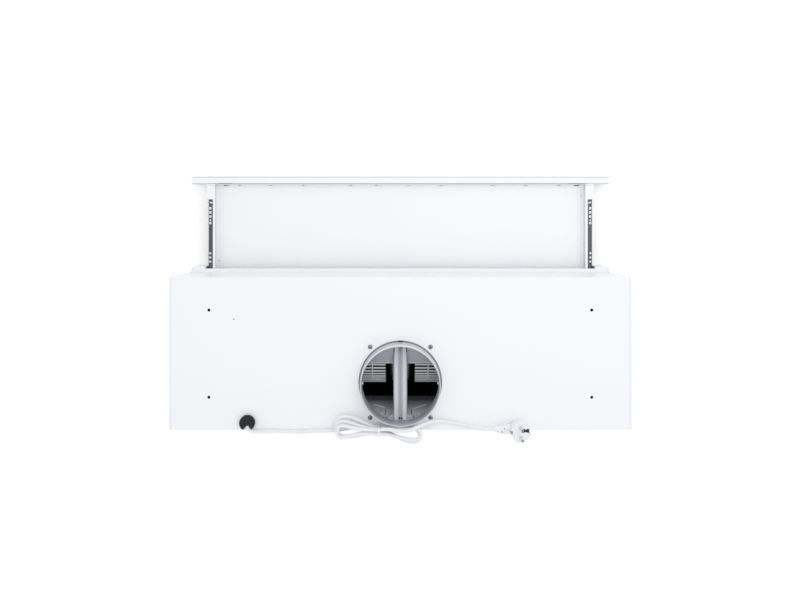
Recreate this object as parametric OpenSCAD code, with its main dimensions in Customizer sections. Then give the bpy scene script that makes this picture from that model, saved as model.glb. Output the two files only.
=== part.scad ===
// Telescopic range hood for a wall cabinet, with its drawer pulled out.
// Millimetres, +Z up, the drawer to the front (-Y). The origin lies under the middle of the opened hood.

/* [Casing] */
// Width of the casing
body_w = 898; // [880:1:1200]
// Depth of the casing, front to back
body_d = 296; // [290:1:340]
// Height of the casing
body_h = 180; // [178:1:240]
// Thickness of the folded steel sheet
sheet_t = 1; // [0.8:0.1:1.5]
// Outer radius of the folds
fold_r = 2; // [1.6:0.1:4]
// Width of the folded flanges
flange_w = 12; // [8:1:16]

/* [Front trim] */
// Height of the front trim
trim_h = 45; // [44:1:60]
// How far the ends of the trim stand out from the casing
trim_out = 12; // [9:1:20]
// How far the bar over the slot stands out from the casing
trim_bar_out = 7.5; // [4:0.5:8.5]
// Radius of the trim's front corners
trim_r = 8; // [3:1:8]
// Thickness of the trim's bar over the slot
trim_bar_t = 3; // [2:0.5:4]
// Side gap between a slide and the end of the slot
slot_gap = 2; // [1.8:0.1:8]

/* [Drawer] */
// Travel of the drawer
travel = 176; // [120:1:180]
// Gap between the shut drawer's strip and the trim
shut_gap = 1; // [0.5:0.5:3]
// Depth of the front strip
strip_d = 16; // [14:0.5:24]
// Height of the front strip
strip_h = 38; // [36:1:40]
// Height of the strip's lower edge over the base
strip_z = 2; // [1:0.5:2.5]
// Wall of the front strip
strip_t = 1.5; // [1:0.1:2]
// Corner radius of the strip's section
strip_r = 3; // [1.5:0.5:5]
// Length of each end cap
cap_w = 6; // [3:1:12]
// Height of the cover panel's face
panel_z = 24; // [20:1:26]
// Overlap of the opened panel with the casing
panel_lap = 15; // [8:1:15]
// Play between the panel's sides and the brackets
panel_gap = 0.5; // [0.3:0.1:2]

/* [Slides] */
// Length of every slide member
slide_l = 250; // [230:1:260]
// Distance of the drawer member behind the strip
slide_back = 33; // [24:1:40]
// Distance of each slide's outer face from the casing's side
slide_in = 33.5; // [33:0.5:48]
// Diameter of the balls
ball_d = 4; // [3.4:0.1:4]
// Running gap between a ball and its races
race_gap = 0.3; // [0.2:0.05:0.4]
// Thickness of the slide members
race_t = 1.2; // [0.8:0.1:1.2]
// Pitch of the balls in their cages
ball_pitch = 9; // [6.5:0.1:10]
// Share of the travel that the intermediate member makes
middle_share = 0.5; // [0.4:0.01:0.6]

/* [Duct collar] */
// Outer diameter of the spigot
duct_d = 153; // [120:1:153]
// Height of the spigot over the top plate
duct_h = 33; // [20:1:60]
// Wall of the spigot
duct_t = 2; // [1.2:0.1:3]
// Distance of the duct's centre from the back of the casing
duct_back = 92.5; // [90:0.5:100]
// Spacing of the collar screws across the casing
collar_dx = 117; // [112:1:125]
// Spacing of the collar screws along the casing's depth
collar_dy = 137; // [130:1:140]

/* [Blower] */
// Depth of the fan's axis below the top
axis_drop = 75; // [75:1:78]
// Radius of the impellers
fan_r = 47; // [40:0.5:47]
// Length of each impeller
fan_l = 81; // [60:1:81]
// Number of blades on each impeller
blade_count = 44; // [30:1:48]
// Thickness of a blade
blade_t = 1.1; // [0.8:0.1:1.4]
// Distance from the middle to the inner end of an impeller
fan_x = 28; // [26:1:34]
// Half the width of the blower housing
housing_x = 125; // [120:1:150]
// Wall of the blower housing
housing_t = 2; // [1.5:0.1:2.5]
// Radius of the round air inlets
inlet_r = 40; // [30:1:42]
// Width of the partition between the impellers
ridge_w = 27; // [22:0.5:30]
// Radius of the motor
motor_r = 37; // [30:0.5:37]
// Length of the motor
motor_l = 42; // [34:1:44]
// Radius of the motor shaft
shaft_r = 4; // [3:0.5:5]

/* [Underside] */
// Distance of each lamp's middle from the casing's side
lamp_in = 78; // [76:0.5:84]
// Gap between the two grease filter cassettes
filter_gap = 24; // [20:1:30]
// Depth of each grease filter cassette
filter_d = 84; // [70:1:86]
// Thickness of a filter cassette
filter_t = 9; // [7:0.5:12]
// Width of a cassette's border
border_w = 14; // [10:1:16]
// Radius of a lamp's lens
lens_r = 16; // [10:1:17]
// Travel of a filter latch
latch_travel = 4; // [3:0.5:5]

/* [Controls] */
// Distance of the middle button from the end of the strip
buttons_in = 94; // [70:1:120]
// Spacing of the buttons
button_pitch = 17; // [14:0.5:19]
// Diameter of a button
button_d = 10; // [8:0.5:11]
// Travel of a button
button_travel = 1.5; // [1:0.1:2]

/* [Mounting and lead] */
// Distance of the cabinet holes from the casing's sides
mount_in_x = 78; // [69:0.5:99]
// Distance of the cabinet holes from the casing's front and back
mount_in_y = 63.5; // [58:0.5:73]
// Diameter of the cabinet holes
mount_d = 6; // [4:0.5:8]
// Diameter of the mains lead
cord_d = 7; // [6:0.1:7]
// Distance of the cable gland from the casing's side
gland_in = 153.2; // [140:0.1:170]
// Diameter of the cable gland
gland_d = 29.6; // [28:0.1:36]
// Height of the cable gland over the top plate
gland_h = 9; // [9:0.5:16]

/* [Hidden] */
$fn = 48;

white = "whitesmoke";
panel_white = "ghostwhite";
steel = "silver";
zinc = "darkgray";
dark = "dimgray";
black = "#26282d";
plastic_grey = "#b9bcc6";

// Depth of the whole opened hood, and the planes that everything else is measured from
overall_d = body_d + trim_out + shut_gap + travel + strip_d;
back_y = overall_d / 2;
front_y = back_y - body_d;
inner_top = body_h - sheet_t;
inner_x = body_w / 2 - sheet_t;
strip_back_y = front_y - trim_out - shut_gap - travel;
strip_front_y = strip_back_y - strip_d;
play = 0.3;

// Slides: u runs in from the face on the casing's bracket, w up from the slides' middle
slide_x = body_w / 2 - slide_in;
slide_z = strip_z + 19.5;
ball_r = ball_d / 2;
race_r = ball_r + race_gap;
lip = race_r + race_t;
cage_t = 0.6;
cage_room = cage_t + 2 * race_gap;
row_u = [lip + cage_room + race_t, lip];
row_w = [14.6, 14.6 - lip - race_r];
middle_u = 2 * lip + cage_room;
slide_w = middle_u + race_t + cage_room + 0.6 + race_t;
slide_back_y = strip_back_y + slide_back;
slide_front_y = slide_back_y + travel + 0.5;
middle_y = slide_front_y - middle_share * travel;
bracket_t = 1.2;
bracket_x = slide_x - slide_w;
slot_x = slide_x + slot_gap;
slot_h = trim_h - trim_bar_t;

// Fan and duct
duct_y = back_y - duct_back;
duct_r = duct_d / 2;
foot_r = duct_r + 3.7;
flange_t = 1.6;
flange_z = inner_top - flange_t;
fan_y = duct_y - 30.5;
fan_z = body_h - axis_drop;
scroll_step = 11;
scroll_r = fan_r + 10.5;
bore_r = duct_r - duct_t;

// Underside
lamp_x = body_w / 2 - lamp_in;
filter_w = lamp_x - lens_r - 11 - filter_gap / 2;
filter_x = (filter_gap + filter_w) / 2;
filter_back_y = back_y - 8;
filter_y = filter_back_y - filter_d / 2;
frame_z = sheet_t;
bay_end_y = filter_back_y - filter_d - 4;

// Two-dimensional helpers
module round_rect(w, h, r) {
    translate([r, 0]) square([w - 2 * r, h]);
    translate([0, r]) square([w, h - 2 * r]);
    for (x = [r, w - r], y = [r, h - r]) translate([x, y]) circle(r);
}

// A bent sheet's section: the skin of a rounded box
module skin(w, h, r, t) {
    difference() {
        round_rect(w, h, r);
        translate([t, t]) round_rect(w - 2 * t, h - 2 * t, r - t);
    }
}

// Extrudes a section drawn in Y and Z along X
module along_x(x0, x1) {
    translate([x0, 0, 0]) rotate([90, 0, 90]) linear_extrude(x1 - x0) children();
}

// Extrudes a section drawn in X and Z along Y
module along_y(y0, y1) {
    translate([0, y1, 0]) rotate([90, 0, 0]) linear_extrude(y1 - y0) children();
}

module on_side(side) {
    if (side < 0) mirror([1, 0, 0]) children();
    else children();
}

module rod_x(r, x0, x1, y, z) {
    translate([x0, y, z]) rotate([0, 90, 0]) cylinder(r = r, h = x1 - x0);
}

// Casing

gland_x = body_w / 2 - gland_in;
gland_y = back_y - gland_d / 2 - 0.3;
stem_r = gland_d / 2 - 5;
pilot_in = 48.2;
collar_gap = 0.7;
terminal_w = 80;
terminal_d = 30;
terminal_h = 38;

module top_holes() {
    hole_x = body_w / 2 - mount_in_x;
    drill_z = body_h - 3 * sheet_t - fold_r;
    drill_h = 6 * sheet_t + 2 * fold_r;
    for (x = [-hole_x, hole_x], y = [front_y + mount_in_y, back_y - mount_in_y])
        translate([x, y, drill_z]) cylinder(d = mount_d, h = drill_h);
    translate([hole_x - pilot_in, front_y + mount_in_y + 17.7, drill_z]) cylinder(r = 1.4, h = drill_h);
    translate([0, duct_y, drill_z]) cylinder(r = foot_r + collar_gap, h = drill_h);
    translate([gland_x, gland_y, drill_z]) cylinder(r = stem_r + 0.1, h = drill_h);
    for (x = [-1, 1], y = [-1, 1])
        translate([x * collar_dx / 2, duct_y + y * collar_dy / 2, drill_z]) cylinder(r = screw_hole_r, h = drill_h);
}

module casing_wrap() {
    color(white) difference() {
        along_x(-inner_x, inner_x) difference() {
            translate([front_y, 0]) skin(body_d, body_h, fold_r, sheet_t);
            translate([front_y - 1, -1]) square([flange_w + 1, trim_h + 1]);
            translate([front_y + flange_w, -1]) square([body_d - 2 * flange_w, sheet_t + 2]);
        }
        for (side = [-1, 1]) on_side(side) translate([inner_x - flange_w, back_y - 2 * flange_w, -1])
            cube([flange_w + 1, 2 * flange_w - fold_r, sheet_t + 1]);
        top_holes();
    }
    color(white) along_x(-inner_x, inner_x)
        translate([front_y, trim_h]) square([flange_w, sheet_t]);
}

// A side is a plate with flanges folded in along its top, its back and its foot
module side_panel(side) {
    color(white) on_side(side) {
        along_y(front_y + fold_r, back_y - fold_r) difference() {
            translate([body_w / 2 - 2 * flange_w, 0]) skin(2 * flange_w, inner_top, fold_r, sheet_t);
            translate([body_w / 2 - 2 * flange_w - 1, -1]) square([flange_w + 1, body_h + 2]);
        }
        along_x(inner_x, body_w / 2) translate([front_y, 0]) round_rect(body_d, body_h, fold_r);
    }
}

module front_trim() {
    end_w = body_w / 2 - slot_x;
    color(white) difference() {
        union() {
            for (side = [-1, 1]) on_side(side) {
                difference() {
                    translate([slot_x, front_y - trim_out, 0]) linear_extrude(trim_h) intersection() {
                        square([end_w, trim_out]);
                        union() {
                            square([end_w - trim_r, trim_out]);
                            translate([0, trim_r]) square([end_w, trim_out]);
                            translate([end_w - trim_r, trim_r]) circle(trim_r);
                        }
                    }
                    translate([slot_x + 2, front_y - trim_out + 2, -1])
                        cube([end_w - trim_r - 2, trim_out, slot_h + 1]);
                }
                translate([inner_x - 2, front_y - 1, 4]) cube([2, 21, trim_h - 6]);
            }
            translate([-slot_x, front_y - trim_bar_out, slot_h])
                cube([2 * slot_x, trim_bar_out + flange_w, trim_bar_t]);
        }
    }
}

// A pan behind the drawer, with windows for the filters and the lamps and rims turned up round them
window_gap = 1;
module bottom_frame() {
    pan_x = inner_x - 1;
    pan_d = back_y - fold_r - bay_end_y;
    rim_t = 1.2;
    color(white) difference() {
        union() {
            translate([-pan_x, bay_end_y, frame_z]) cube([2 * pan_x, pan_d, sheet_t]);
            for (x = [-filter_x, filter_x])
                translate([x - filter_w / 2 - window_gap - rim_t, bay_end_y, frame_z])
                    cube([rim_t, filter_d + 4 - window_gap, filter_t + 2]);
            for (x = [-filter_x, filter_x])
                translate([x + filter_w / 2 + window_gap, bay_end_y, frame_z])
                    cube([rim_t, filter_d + 4 - window_gap, filter_t + 2]);
            translate([-lamp_x - 6, bay_end_y - rim_t, frame_z]) cube([2 * lamp_x + 12, rim_t, panel_z]);
        }
        for (x = [-filter_x, filter_x])
            translate([x - filter_w / 2 - window_gap, filter_y - filter_d / 2 - window_gap, -1])
                cube([filter_w + 2 * window_gap, filter_d + 2 * window_gap, filter_t]);
        for (x = [-lamp_x, lamp_x])
            translate([x, filter_y, -1]) cylinder(r = lens_r + 3.1, h = 10);
    }
}

// Ball-bearing slides

// Half a section is drawn for the upper row and mirrored for the lower one
module both_rows() {
    children();
    mirror([0, 1]) children();
}

module quarter_ring(r, t, u, w, sign_u, sign_w) {
    translate([u, w]) intersection() {
        difference() {
            circle(r + t);
            circle(r);
        }
        translate([sign_u < 0 ? -r - t : 0, sign_w < 0 ? -r - t : 0]) square(r + t);
    }
}

// The drawer member wraps the intermediate one, which wraps the casing's member
module slide_section(member) {
    if (member == "drawer") {
        translate([slide_w - race_t, -row_w[0] - lip]) square([race_t, 2 * (row_w[0] + lip)]);
        both_rows() {
            translate([row_u[0], row_w[0] + race_r]) square([slide_w - row_u[0], race_t]);
            quarter_ring(race_r, race_t, row_u[0], row_w[0], -1, 1);
        }
    }
    if (member == "middle") {
        translate([middle_u, -row_w[0]]) square([race_t, 2 * row_w[0]]);
        both_rows() {
            quarter_ring(race_r, race_t, row_u[0], row_w[0], -1, -1);
            quarter_ring(race_r, race_t, row_u[0], row_w[0], 1, -1);
            translate([row_u[1] - ball_r, row_w[0] - lip])
                square([middle_u + race_t - row_u[1] + ball_r, race_t]);
        }
    }
    if (member == "casing") {
        translate([0, -row_w[1]]) square([race_t, 2 * row_w[1]]);
        both_rows() {
            quarter_ring(race_r, race_t, row_u[1], row_w[1], -1, -1);
            quarter_ring(race_r, race_t, row_u[1], row_w[1], 1, -1);
        }
    }
}

module in_slide(side) {
    on_side(side) translate([slide_x, 0, slide_z]) mirror([1, 0, 0]) children();
}

module slide_casing(side) {
    color(zinc) in_slide(side) along_y(slide_front_y, slide_front_y + slide_l) slide_section("casing");
}

module slide_middle(side) {
    color(zinc) in_slide(side) along_y(middle_y, middle_y + slide_l) slide_section("middle");
}

// The drawer member has windows in its two edges, each given by its place along the member and its width
windows = [[6.5, 3.4], [19, 5.4], [28, 5.4], [37, 5.4], [44.6, 3.4], [51, 5], [115.9, 5.4], [124.9, 5.4], [133.9, 5.4]];
module slide_drawer(side) {
    color(dark) in_slide(side) difference() {
        along_y(slide_back_y, slide_back_y + slide_l) slide_section("drawer");
        for (w = windows) translate([row_u[0] + 0.8, slide_back_y + w[0], -30])
            translate([-w[1] / 2, -w[1] / 2, 0]) cube([w[1], w[1], 60]);
    }
}

// A cage is a strip beside a web, with two pierced tabs that reach over the balls
front_cage_y = slide_back_y + 102.4;
front_cage_l = 99;
rear_cage_y = slide_front_y + 45;
rear_cage_l = 72;

function front_ball_ys() = [for (i = [0, 1, 2, 3, 8, 9, 10]) front_cage_y + 4.5 + i * ball_pitch];
function rear_ball_ys() = [for (i = [0, 1, 2, 5, 6, 7]) rear_cage_y + 4.5 + i * ball_pitch];

module ball_rows(ys, row) {
    for (y = ys, w = [-1, 1])
        translate([row_u[row], y, w * row_w[row]]) sphere(r = ball_r);
}

// The plate lies at u0, and the tabs run from it towards the casing
module cage(y0, l, u0, ys, row) {
    tab_w = row_w[row] + 0.4;
    difference() {
        union() {
            translate([u0, y0, -tab_w]) cube([cage_t, l, 2 * tab_w]);
            for (w = [-1, 1])
                translate([row_u[row] - ball_r, y0, w > 0 ? tab_w : -tab_w - cage_t])
                    cube([u0 + cage_t - row_u[row] + ball_r, l, cage_t]);
        }
        for (y = ys, w = [-1, 1]) translate([row_u[row], y, w * row_w[row] - ball_r])
            cylinder(r = ball_r + 0.25, h = 2 * ball_r);
    }
}

module ball_cages_front() {
    color(white) for (side = [-1, 1]) in_slide(side)
        cage(front_cage_y, front_cage_l, middle_u + race_t + race_gap + 0.3, front_ball_ys(), 0);
}

module ball_cages_rear() {
    color(white) for (side = [-1, 1]) in_slide(side)
        cage(rear_cage_y, rear_cage_l, 2 * lip + race_gap, rear_ball_ys(), 1);
}

module balls_front() {
    color("white") for (side = [-1, 1]) in_slide(side) ball_rows(front_ball_ys(), 0);
}

module balls_rear() {
    color("white") for (side = [-1, 1]) in_slide(side) ball_rows(rear_ball_ys(), 1);
}

// A Z-shaped bracket carries the casing's slide member from the side panel
module rail_bracket(side) {
    web_t = 1.5;
    bracket_h = 35;
    color(steel) on_side(side) along_y(slide_front_y, slide_front_y + slide_l)
        translate([slide_x, slide_z - bracket_h / 2]) {
            square([web_t, bracket_h]);
            translate([0, bracket_h - web_t]) square([inner_x - slide_x, web_t]);
            translate([inner_x - slide_x - web_t, 0]) square([web_t, bracket_h]);
        }
}

// Drawer

module drawer_strip() {
    color(white) difference() {
        along_x(-body_w / 2 + cap_w, body_w / 2 - cap_w)
            translate([strip_front_y, strip_z]) skin(strip_d, strip_h, strip_r, strip_t);
        translate([buttons_x - bezel_w / 2 - 0.1, strip_front_y - 1, bezel_z - 0.1])
            cube([bezel_w + 0.2, strip_t + 2, bezel_h + 0.2]);
    }
}

module strip_end_caps() {
    plug_in = 8;
    color(white) for (side = [-1, 1]) on_side(side) {
        along_x(body_w / 2 - cap_w, body_w / 2)
            translate([strip_front_y, strip_z]) round_rect(strip_d, strip_h, strip_r);
        along_x(body_w / 2 - cap_w - plug_in, body_w / 2 - cap_w)
            translate([strip_front_y + strip_t + 0.1, strip_z + strip_t + 0.1])
                round_rect(strip_d - 2 * strip_t - 0.2, strip_h - 2 * strip_t - 0.2, max(0.5, strip_r - strip_t));
    }
}

panel_x = bracket_x - bracket_t - panel_gap;
panel_t = 0.8;
panel_l = trim_out + shut_gap + travel + panel_lap;
shelf_z = 4;
shelf_top = shelf_z + bracket_t;

// Places and widths of the slots for the strip's hooks, as shares of half the panel's width
hooks = [[-0.955, 12], [-0.86, 6], [-0.68, 6], [-0.5, 6], [-0.22, 6], [-0.046, 6], [0.13, 6], [0.267, 6],
    [0.525, 6], [0.703, 6], [0.87, 6], [0.94, 12]];

// The cover panel is a tray turned down at its sides and up at the strip, with a row of hook slots
module drawer_panel() {
    lip_h = 9;
    color(panel_white) difference() {
        union() {
            translate([-panel_x, strip_back_y, panel_z - panel_t]) cube([2 * panel_x, panel_l, panel_t]);
            translate([-panel_x, strip_back_y, panel_z - panel_t]) cube([2 * panel_x, panel_t, lip_h]);
            for (side = [-1, 1]) on_side(side)
                translate([panel_x - panel_t, strip_back_y, shelf_top]) cube([panel_t, panel_l, panel_z - shelf_top]);
        }
        for (hook = hooks)
            translate([hook[0] * panel_x - hook[1] / 2, strip_back_y + 2 * panel_t, panel_z - 2])
                cube([hook[1], 1.8, 4]);
        for (side = [-1, 1])
            translate([side * screw_x, screw_y(side), 0]) cylinder(r = screw_hole_r, h = 40);
    }
}

screw_x = panel_x - 8.6;
screw_hole_r = 2;
function screw_y(side) = strip_back_y + (side > 0 ? travel - 10 : slide_back - 9);

module panel_screws() {
    color(dark) for (side = [-1, 1]) translate([side * screw_x, screw_y(side), 0]) {
        translate([0, 0, panel_z]) cylinder(r = screw_hole_r + 0.6, h = 1.2);
        translate([0, 0, shelf_top + drawer_filter_t + 0.2])
            cylinder(r = screw_hole_r - 0.2, h = panel_z - shelf_top - drawer_filter_t - 0.2);
    }
}

// A side bracket: web against the slide, shelf under the filter, and a wide block behind the strip
module drawer_bracket(side) {
    head_l = slide_back - 0.5;
    slit = 0.9;
    web_x = bracket_x - bracket_t;
    top_z = slide_z + row_w[0] + lip;
    length = slide_back + slide_l;
    shelf_w = 20;
    color(white) on_side(side) difference() {
        union() {
            translate([web_x, strip_back_y, shelf_z]) cube([bracket_t, length, top_z - shelf_z]);
            translate([web_x - 4, strip_back_y, top_z - bracket_t]) cube([4, length, bracket_t]);
            translate([web_x - shelf_w, strip_back_y, shelf_z]) cube([shelf_w, panel_l, bracket_t]);
            translate([web_x, strip_back_y, top_z - bracket_t]) cube([slide_w + bracket_t, head_l, bracket_t]);
            translate([slide_x - bracket_t, strip_back_y, top_z - 12]) cube([bracket_t, head_l, 12]);
            translate([web_x, strip_back_y, shelf_z]) cube([slide_w + bracket_t, bracket_t, top_z - shelf_z]);
        }
        translate([web_x - 5, strip_back_y + 2.4, top_z - 3]) cube([slide_w + bracket_t + 1.5, slit, 4]);
    }
}

// Filters: a channel frame round a slotted aluminium core

module cassette_frame(x, y, z, w, d, t, border) {
    translate([x - w / 2, y - d / 2, z]) difference() {
        cube([w, d, t]);
        translate([border, border, -1]) cube([w - 2 * border, d - 2 * border, t + 2]);
        translate([border - 3, border - 3, 2]) cube([w - 2 * border + 6, d - 2 * border + 6, t - 4]);
    }
}

// The core is pierced by staggered diamonds
module cassette_mesh(x, y, z, w, d, t, border, columns, rows) {
    core_w = w - 2 * border + 5;
    core_d = d - 2 * border + 5;
    step_x = core_w / (columns + 0.5);
    step_y = core_d / (rows + 0.5);
    translate([x, y, z + 2.5]) linear_extrude(t - 5) difference() {
        square([core_w, core_d], center = true);
        for (i = [0 : columns - 1], j = [0 : rows - 1])
            translate([-core_w / 2 + (i + 0.5 + (j % 2) / 2) * step_x, -core_d / 2 + (j + 0.75) * step_y])
                polygon([[-0.4 * step_x, 0], [0, -0.38 * step_y], [0.4 * step_x, 0], [0, 0.38 * step_y]]);
    }
}

drawer_filter_w = 2 * (panel_x - panel_t - play);
drawer_filter_d = travel - 10;
drawer_filter_y = strip_back_y + 4 + drawer_filter_d / 2;
drawer_filter_t = 8;

module drawer_filter_frame() {
    color(steel) cassette_frame(0, drawer_filter_y, shelf_top, drawer_filter_w, drawer_filter_d,
        drawer_filter_t, 24);
}

module drawer_filter_mesh() {
    color("gainsboro") cassette_mesh(0, drawer_filter_y, shelf_top, drawer_filter_w, drawer_filter_d,
        drawer_filter_t, 24, 32, 5);
}

cassette_z = frame_z;
latch_w = 26;
latch_d = 6.5;
latch_t = 4;
bolt_out = 3.5;

module filter_frame(side) {
    tab_w = 20;
    front = filter_y - filter_d / 2;
    color(steel) on_side(side) difference() {
        union() {
            cassette_frame(filter_x, filter_y, cassette_z, filter_w, filter_d, filter_t, border_w);
            for (x = [-0.3, 0.3] * filter_w)
                translate([filter_x + x - tab_w / 2, filter_back_y - 1, cassette_z + sheet_t]) cube([tab_w, 5, 2]);
        }
        translate([filter_x - latch_w / 2 - 0.2, front - 1, cassette_z - 1])
            cube([latch_w + 0.4, latch_d + latch_travel + 1.3, latch_t + 2.2]);
    }
}

module filter_mesh(side) {
    color("gainsboro") on_side(side)
        cassette_mesh(filter_x, filter_y, cassette_z, filter_w, filter_d, filter_t, border_w, 16, 3);
}

// A sprung slider whose bolt lies on the pan in front of the cassette
module filter_latch(side) {
    front = filter_y - filter_d / 2;
    color(dark) on_side(side) difference() {
        union() {
            translate([filter_x - latch_w / 2, front + 0.2, cassette_z]) cube([latch_w, latch_d, latch_t + 0.8]);
            translate([filter_x - latch_w / 2 + 4, front - bolt_out, cassette_z + sheet_t])
                cube([latch_w - 8, bolt_out + 1, latch_t - sheet_t]);
        }
        for (i = [-1, 0, 1]) translate([filter_x - 8, front + 3.2 + 1.8 * i, cassette_z - 1]) cube([16, 0.9, 1.6]);
    }
}

module lamp_cans() {
    can_h = 1.25 * lens_r;
    color(steel) for (x = [-lamp_x, lamp_x]) translate([x, filter_y, frame_z + sheet_t])
        difference() {
            cylinder(r = lens_r + 3, h = can_h);
            translate([0, 0, -1]) cylinder(r = lens_r + 1, h = can_h - 1);
        }
}

module lamp_bezels() {
    color(steel) for (x = [-lamp_x, lamp_x]) translate([x, filter_y, 0]) rotate_extrude()
        polygon([[lens_r + 0.2, 0.4], [lens_r + 7, 0.4], [lens_r + 7, frame_z], [lens_r + 2.9, frame_z],
            [lens_r + 2.9, frame_z + sheet_t], [lens_r + 0.2, frame_z + sheet_t]]);
}

module lamp_lenses() {
    color("aliceblue") for (x = [-lamp_x, lamp_x]) translate([x, filter_y, 0.6])
        cylinder(r = lens_r, h = frame_z + sheet_t + 0.8);
}

// Controls in the front strip

buttons_x = body_w / 2 - buttons_in;
bezel_w = 4 * button_pitch + 24;
bezel_h = 20;
bezel_t = 3;
bezel_z = strip_z + strip_h / 2 - bezel_h / 2;
button_z = strip_z + strip_h / 2;
skirt_t = 1;
dish = 0.8;

module at_button(i) {
    translate([buttons_x + (i - 2) * button_pitch, strip_front_y, button_z]) rotate([-90, 0, 0]) children();
}

module button_bezel() {
    color(plastic_grey) difference() {
        translate([buttons_x - bezel_w / 2, strip_front_y, bezel_z]) cube([bezel_w, bezel_t, bezel_h]);
        translate([buttons_x - bezel_w / 2 + 3, strip_front_y - 1, bezel_z + 3])
            cube([bezel_w - 6, 1 + dish, bezel_h - 6]);
        for (i = [0 : 4]) at_button(i) translate([0, 0, -1]) cylinder(r = button_d / 2 + 0.1, h = bezel_t + 2);
    }
}

module switch_box() {
    box_d = strip_d - strip_t - bezel_t - 0.3;
    color(black) difference() {
        translate([buttons_x - bezel_w / 2 + 2, strip_front_y + bezel_t, bezel_z + 1])
            cube([bezel_w - 4, box_d, bezel_h - 2]);
        for (i = [0 : 4]) at_button(i) {
            translate([0, 0, bezel_t - 1]) cylinder(r = button_d / 2 + 1.2, h = 1 + skirt_t + button_travel + 0.3);
            translate([0, 0, bezel_t]) cylinder(r = 2.1, h = skirt_t + 2 * button_travel + 3.2);
        }
    }
}

module button(i) {
    color(plastic_grey) at_button(i) {
        cylinder(r = button_d / 2, h = bezel_t);
        translate([0, 0, bezel_t]) cylinder(r = button_d / 2 + 0.8, h = skirt_t);
        translate([0, 0, bezel_t + skirt_t]) cylinder(r = 2, h = button_travel + 2);
    }
}

// Duct collar: a spigot with a rolled foot, on a flange under the top plate
module duct_collar() {
    flange_r = sqrt(pow(collar_dx / 2, 2) + pow(collar_dy / 2, 2)) + 6;
    foot_h = foot_r - duct_r;
    top = body_h + duct_h;
    color("lightgray") translate([0, duct_y, 0]) difference() {
        union() {
            rotate_extrude($fn = 96) {
                translate([bore_r, flange_z]) square([duct_t, top - flange_z - duct_t / 2]);
                translate([bore_r + duct_t / 2, top - duct_t / 2]) circle(duct_t / 2);
                translate([bore_r, flange_z]) square([flange_r - bore_r, flange_t]);
                difference() {
                    translate([duct_r - 0.5, inner_top - 0.5]) square([foot_h + 0.5, sheet_t + foot_h + 0.5]);
                    translate([foot_r, body_h + foot_h]) circle(foot_h);
                }
            }
            for (side = [-1, 1]) on_side(side)
                rod_x(2.5, bore_r - 3, bore_r + 1, 0, body_h + 7);
        }
        translate([-14, -foot_r - 1, body_h - 0.5]) cube([28, 3.2, 2.5]);
        translate([-flange_r, duct_back - fold_r - 0.2, flange_z - 1]) cube([2 * flange_r, flange_r, flange_t + 2]);
        for (x = [-1, 1], y = [-1, 1])
            translate([x * collar_dx / 2, y * collar_dy / 2, flange_z - 1]) cylinder(r = screw_hole_r, h = 4);
    }
}

module collar_screws() {
    head_r = 4.3;
    color(steel) for (x = [-1, 1], y = [-1, 1])
        translate([x * collar_dx / 2, duct_y + y * collar_dy / 2, 0]) {
            difference() {
                intersection() {
                    translate([0, 0, body_h]) cylinder(r = head_r, h = 2.2);
                    translate([0, 0, body_h - 3.2]) sphere(r = 5.6);
                }
                for (a = [0, 90]) translate([0, 0, body_h + 1.9]) rotate([0, 0, a])
                    cube([1.2, 5, 2], center = true);
            }
            translate([0, 0, flange_z - 3]) cylinder(r = 1.8, h = body_h - flange_z + 3);
        }
}

// Blower housing: a four-centre scroll that opens into the duct

// Centres of the scroll's three arcs, in Y and Z about the fan's axis
function arc_centre(i) = [
    fan_y + (i == 0 ? -1 : 1) * scroll_step / 2,
    fan_z + (i == 2 ? 1 : -1) * scroll_step / 2
];
function arc_r(i) = scroll_r + i * scroll_step;

module quarter_disc(i, grow, sign_y, sign_z) {
    r = arc_r(i) + grow;
    translate(arc_centre(i)) intersection() {
        circle(r, $fn = 96);
        translate([sign_y < 0 ? -r : 0, sign_z < 0 ? -r : 0]) square([r, i == 2 ? 1.2 * r : r]);
    }
}

// The cut-off: the front wall of the outlet leans from the top of the first arc to the duct's edge
module scroll_outline(grow) {
    a = arc_centre(0);
    b = arc_centre(2);
    nose = 4;
    tip = [a[0] + nose, a[1] + arc_r(0)];
    edge = [duct_y - duct_r, flange_z];
    lean = (edge - tip) / norm(edge - tip);
    back_top = [duct_y + duct_r + grow, flange_z];
    back_foot = [b[0] + arc_r(2) + grow, b[1]];
    inset = 5;
    quarter_disc(0, grow, -1, 1);
    quarter_disc(1, grow, -1, -1);
    quarter_disc(2, grow, 1, -1);
    translate([a[0] - inset, a[1] - inset]) square([inset + nose, inset + arc_r(0) + grow]);
    polygon([
        [a[0] - inset, a[1] - inset],
        tip + grow * [-lean[1], lean[0]],
        [edge[0] - grow / lean[1], flange_z],
        back_top,
        back_foot + inset * (back_foot - back_top) / norm(back_foot - back_top),
        [b[0] + inset, b[1] - inset],
        [b[0] + inset, a[1] - inset]
    ]);
}

module blower_housing() {
    color(plastic_grey) {
        difference() {
            union() {
                along_x(-housing_x, housing_x) difference() {
                    scroll_outline(housing_t);
                    scroll_outline(0);
                }
                difference() {
                    along_x(-housing_x, housing_x) intersection() {
                        scroll_outline(housing_t);
                        translate([duct_y - 2 * duct_r, flange_z - lid_t]) square([4 * duct_r, lid_t]);
                    }
                    translate([0, duct_y, flange_z - lid_t - 1]) cylinder(r = bore_r, h = lid_t + 2, $fn = 96);
                }
            }
            for (x = [-1, 1], y = [-1, 1])
                translate([x * collar_dx / 2, duct_y + y * collar_dy / 2, flange_z - lid_t - 0.5])
                    cylinder(r = screw_hole_r + 0.2, h = lid_t + 1);
        }
    }
}

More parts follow.
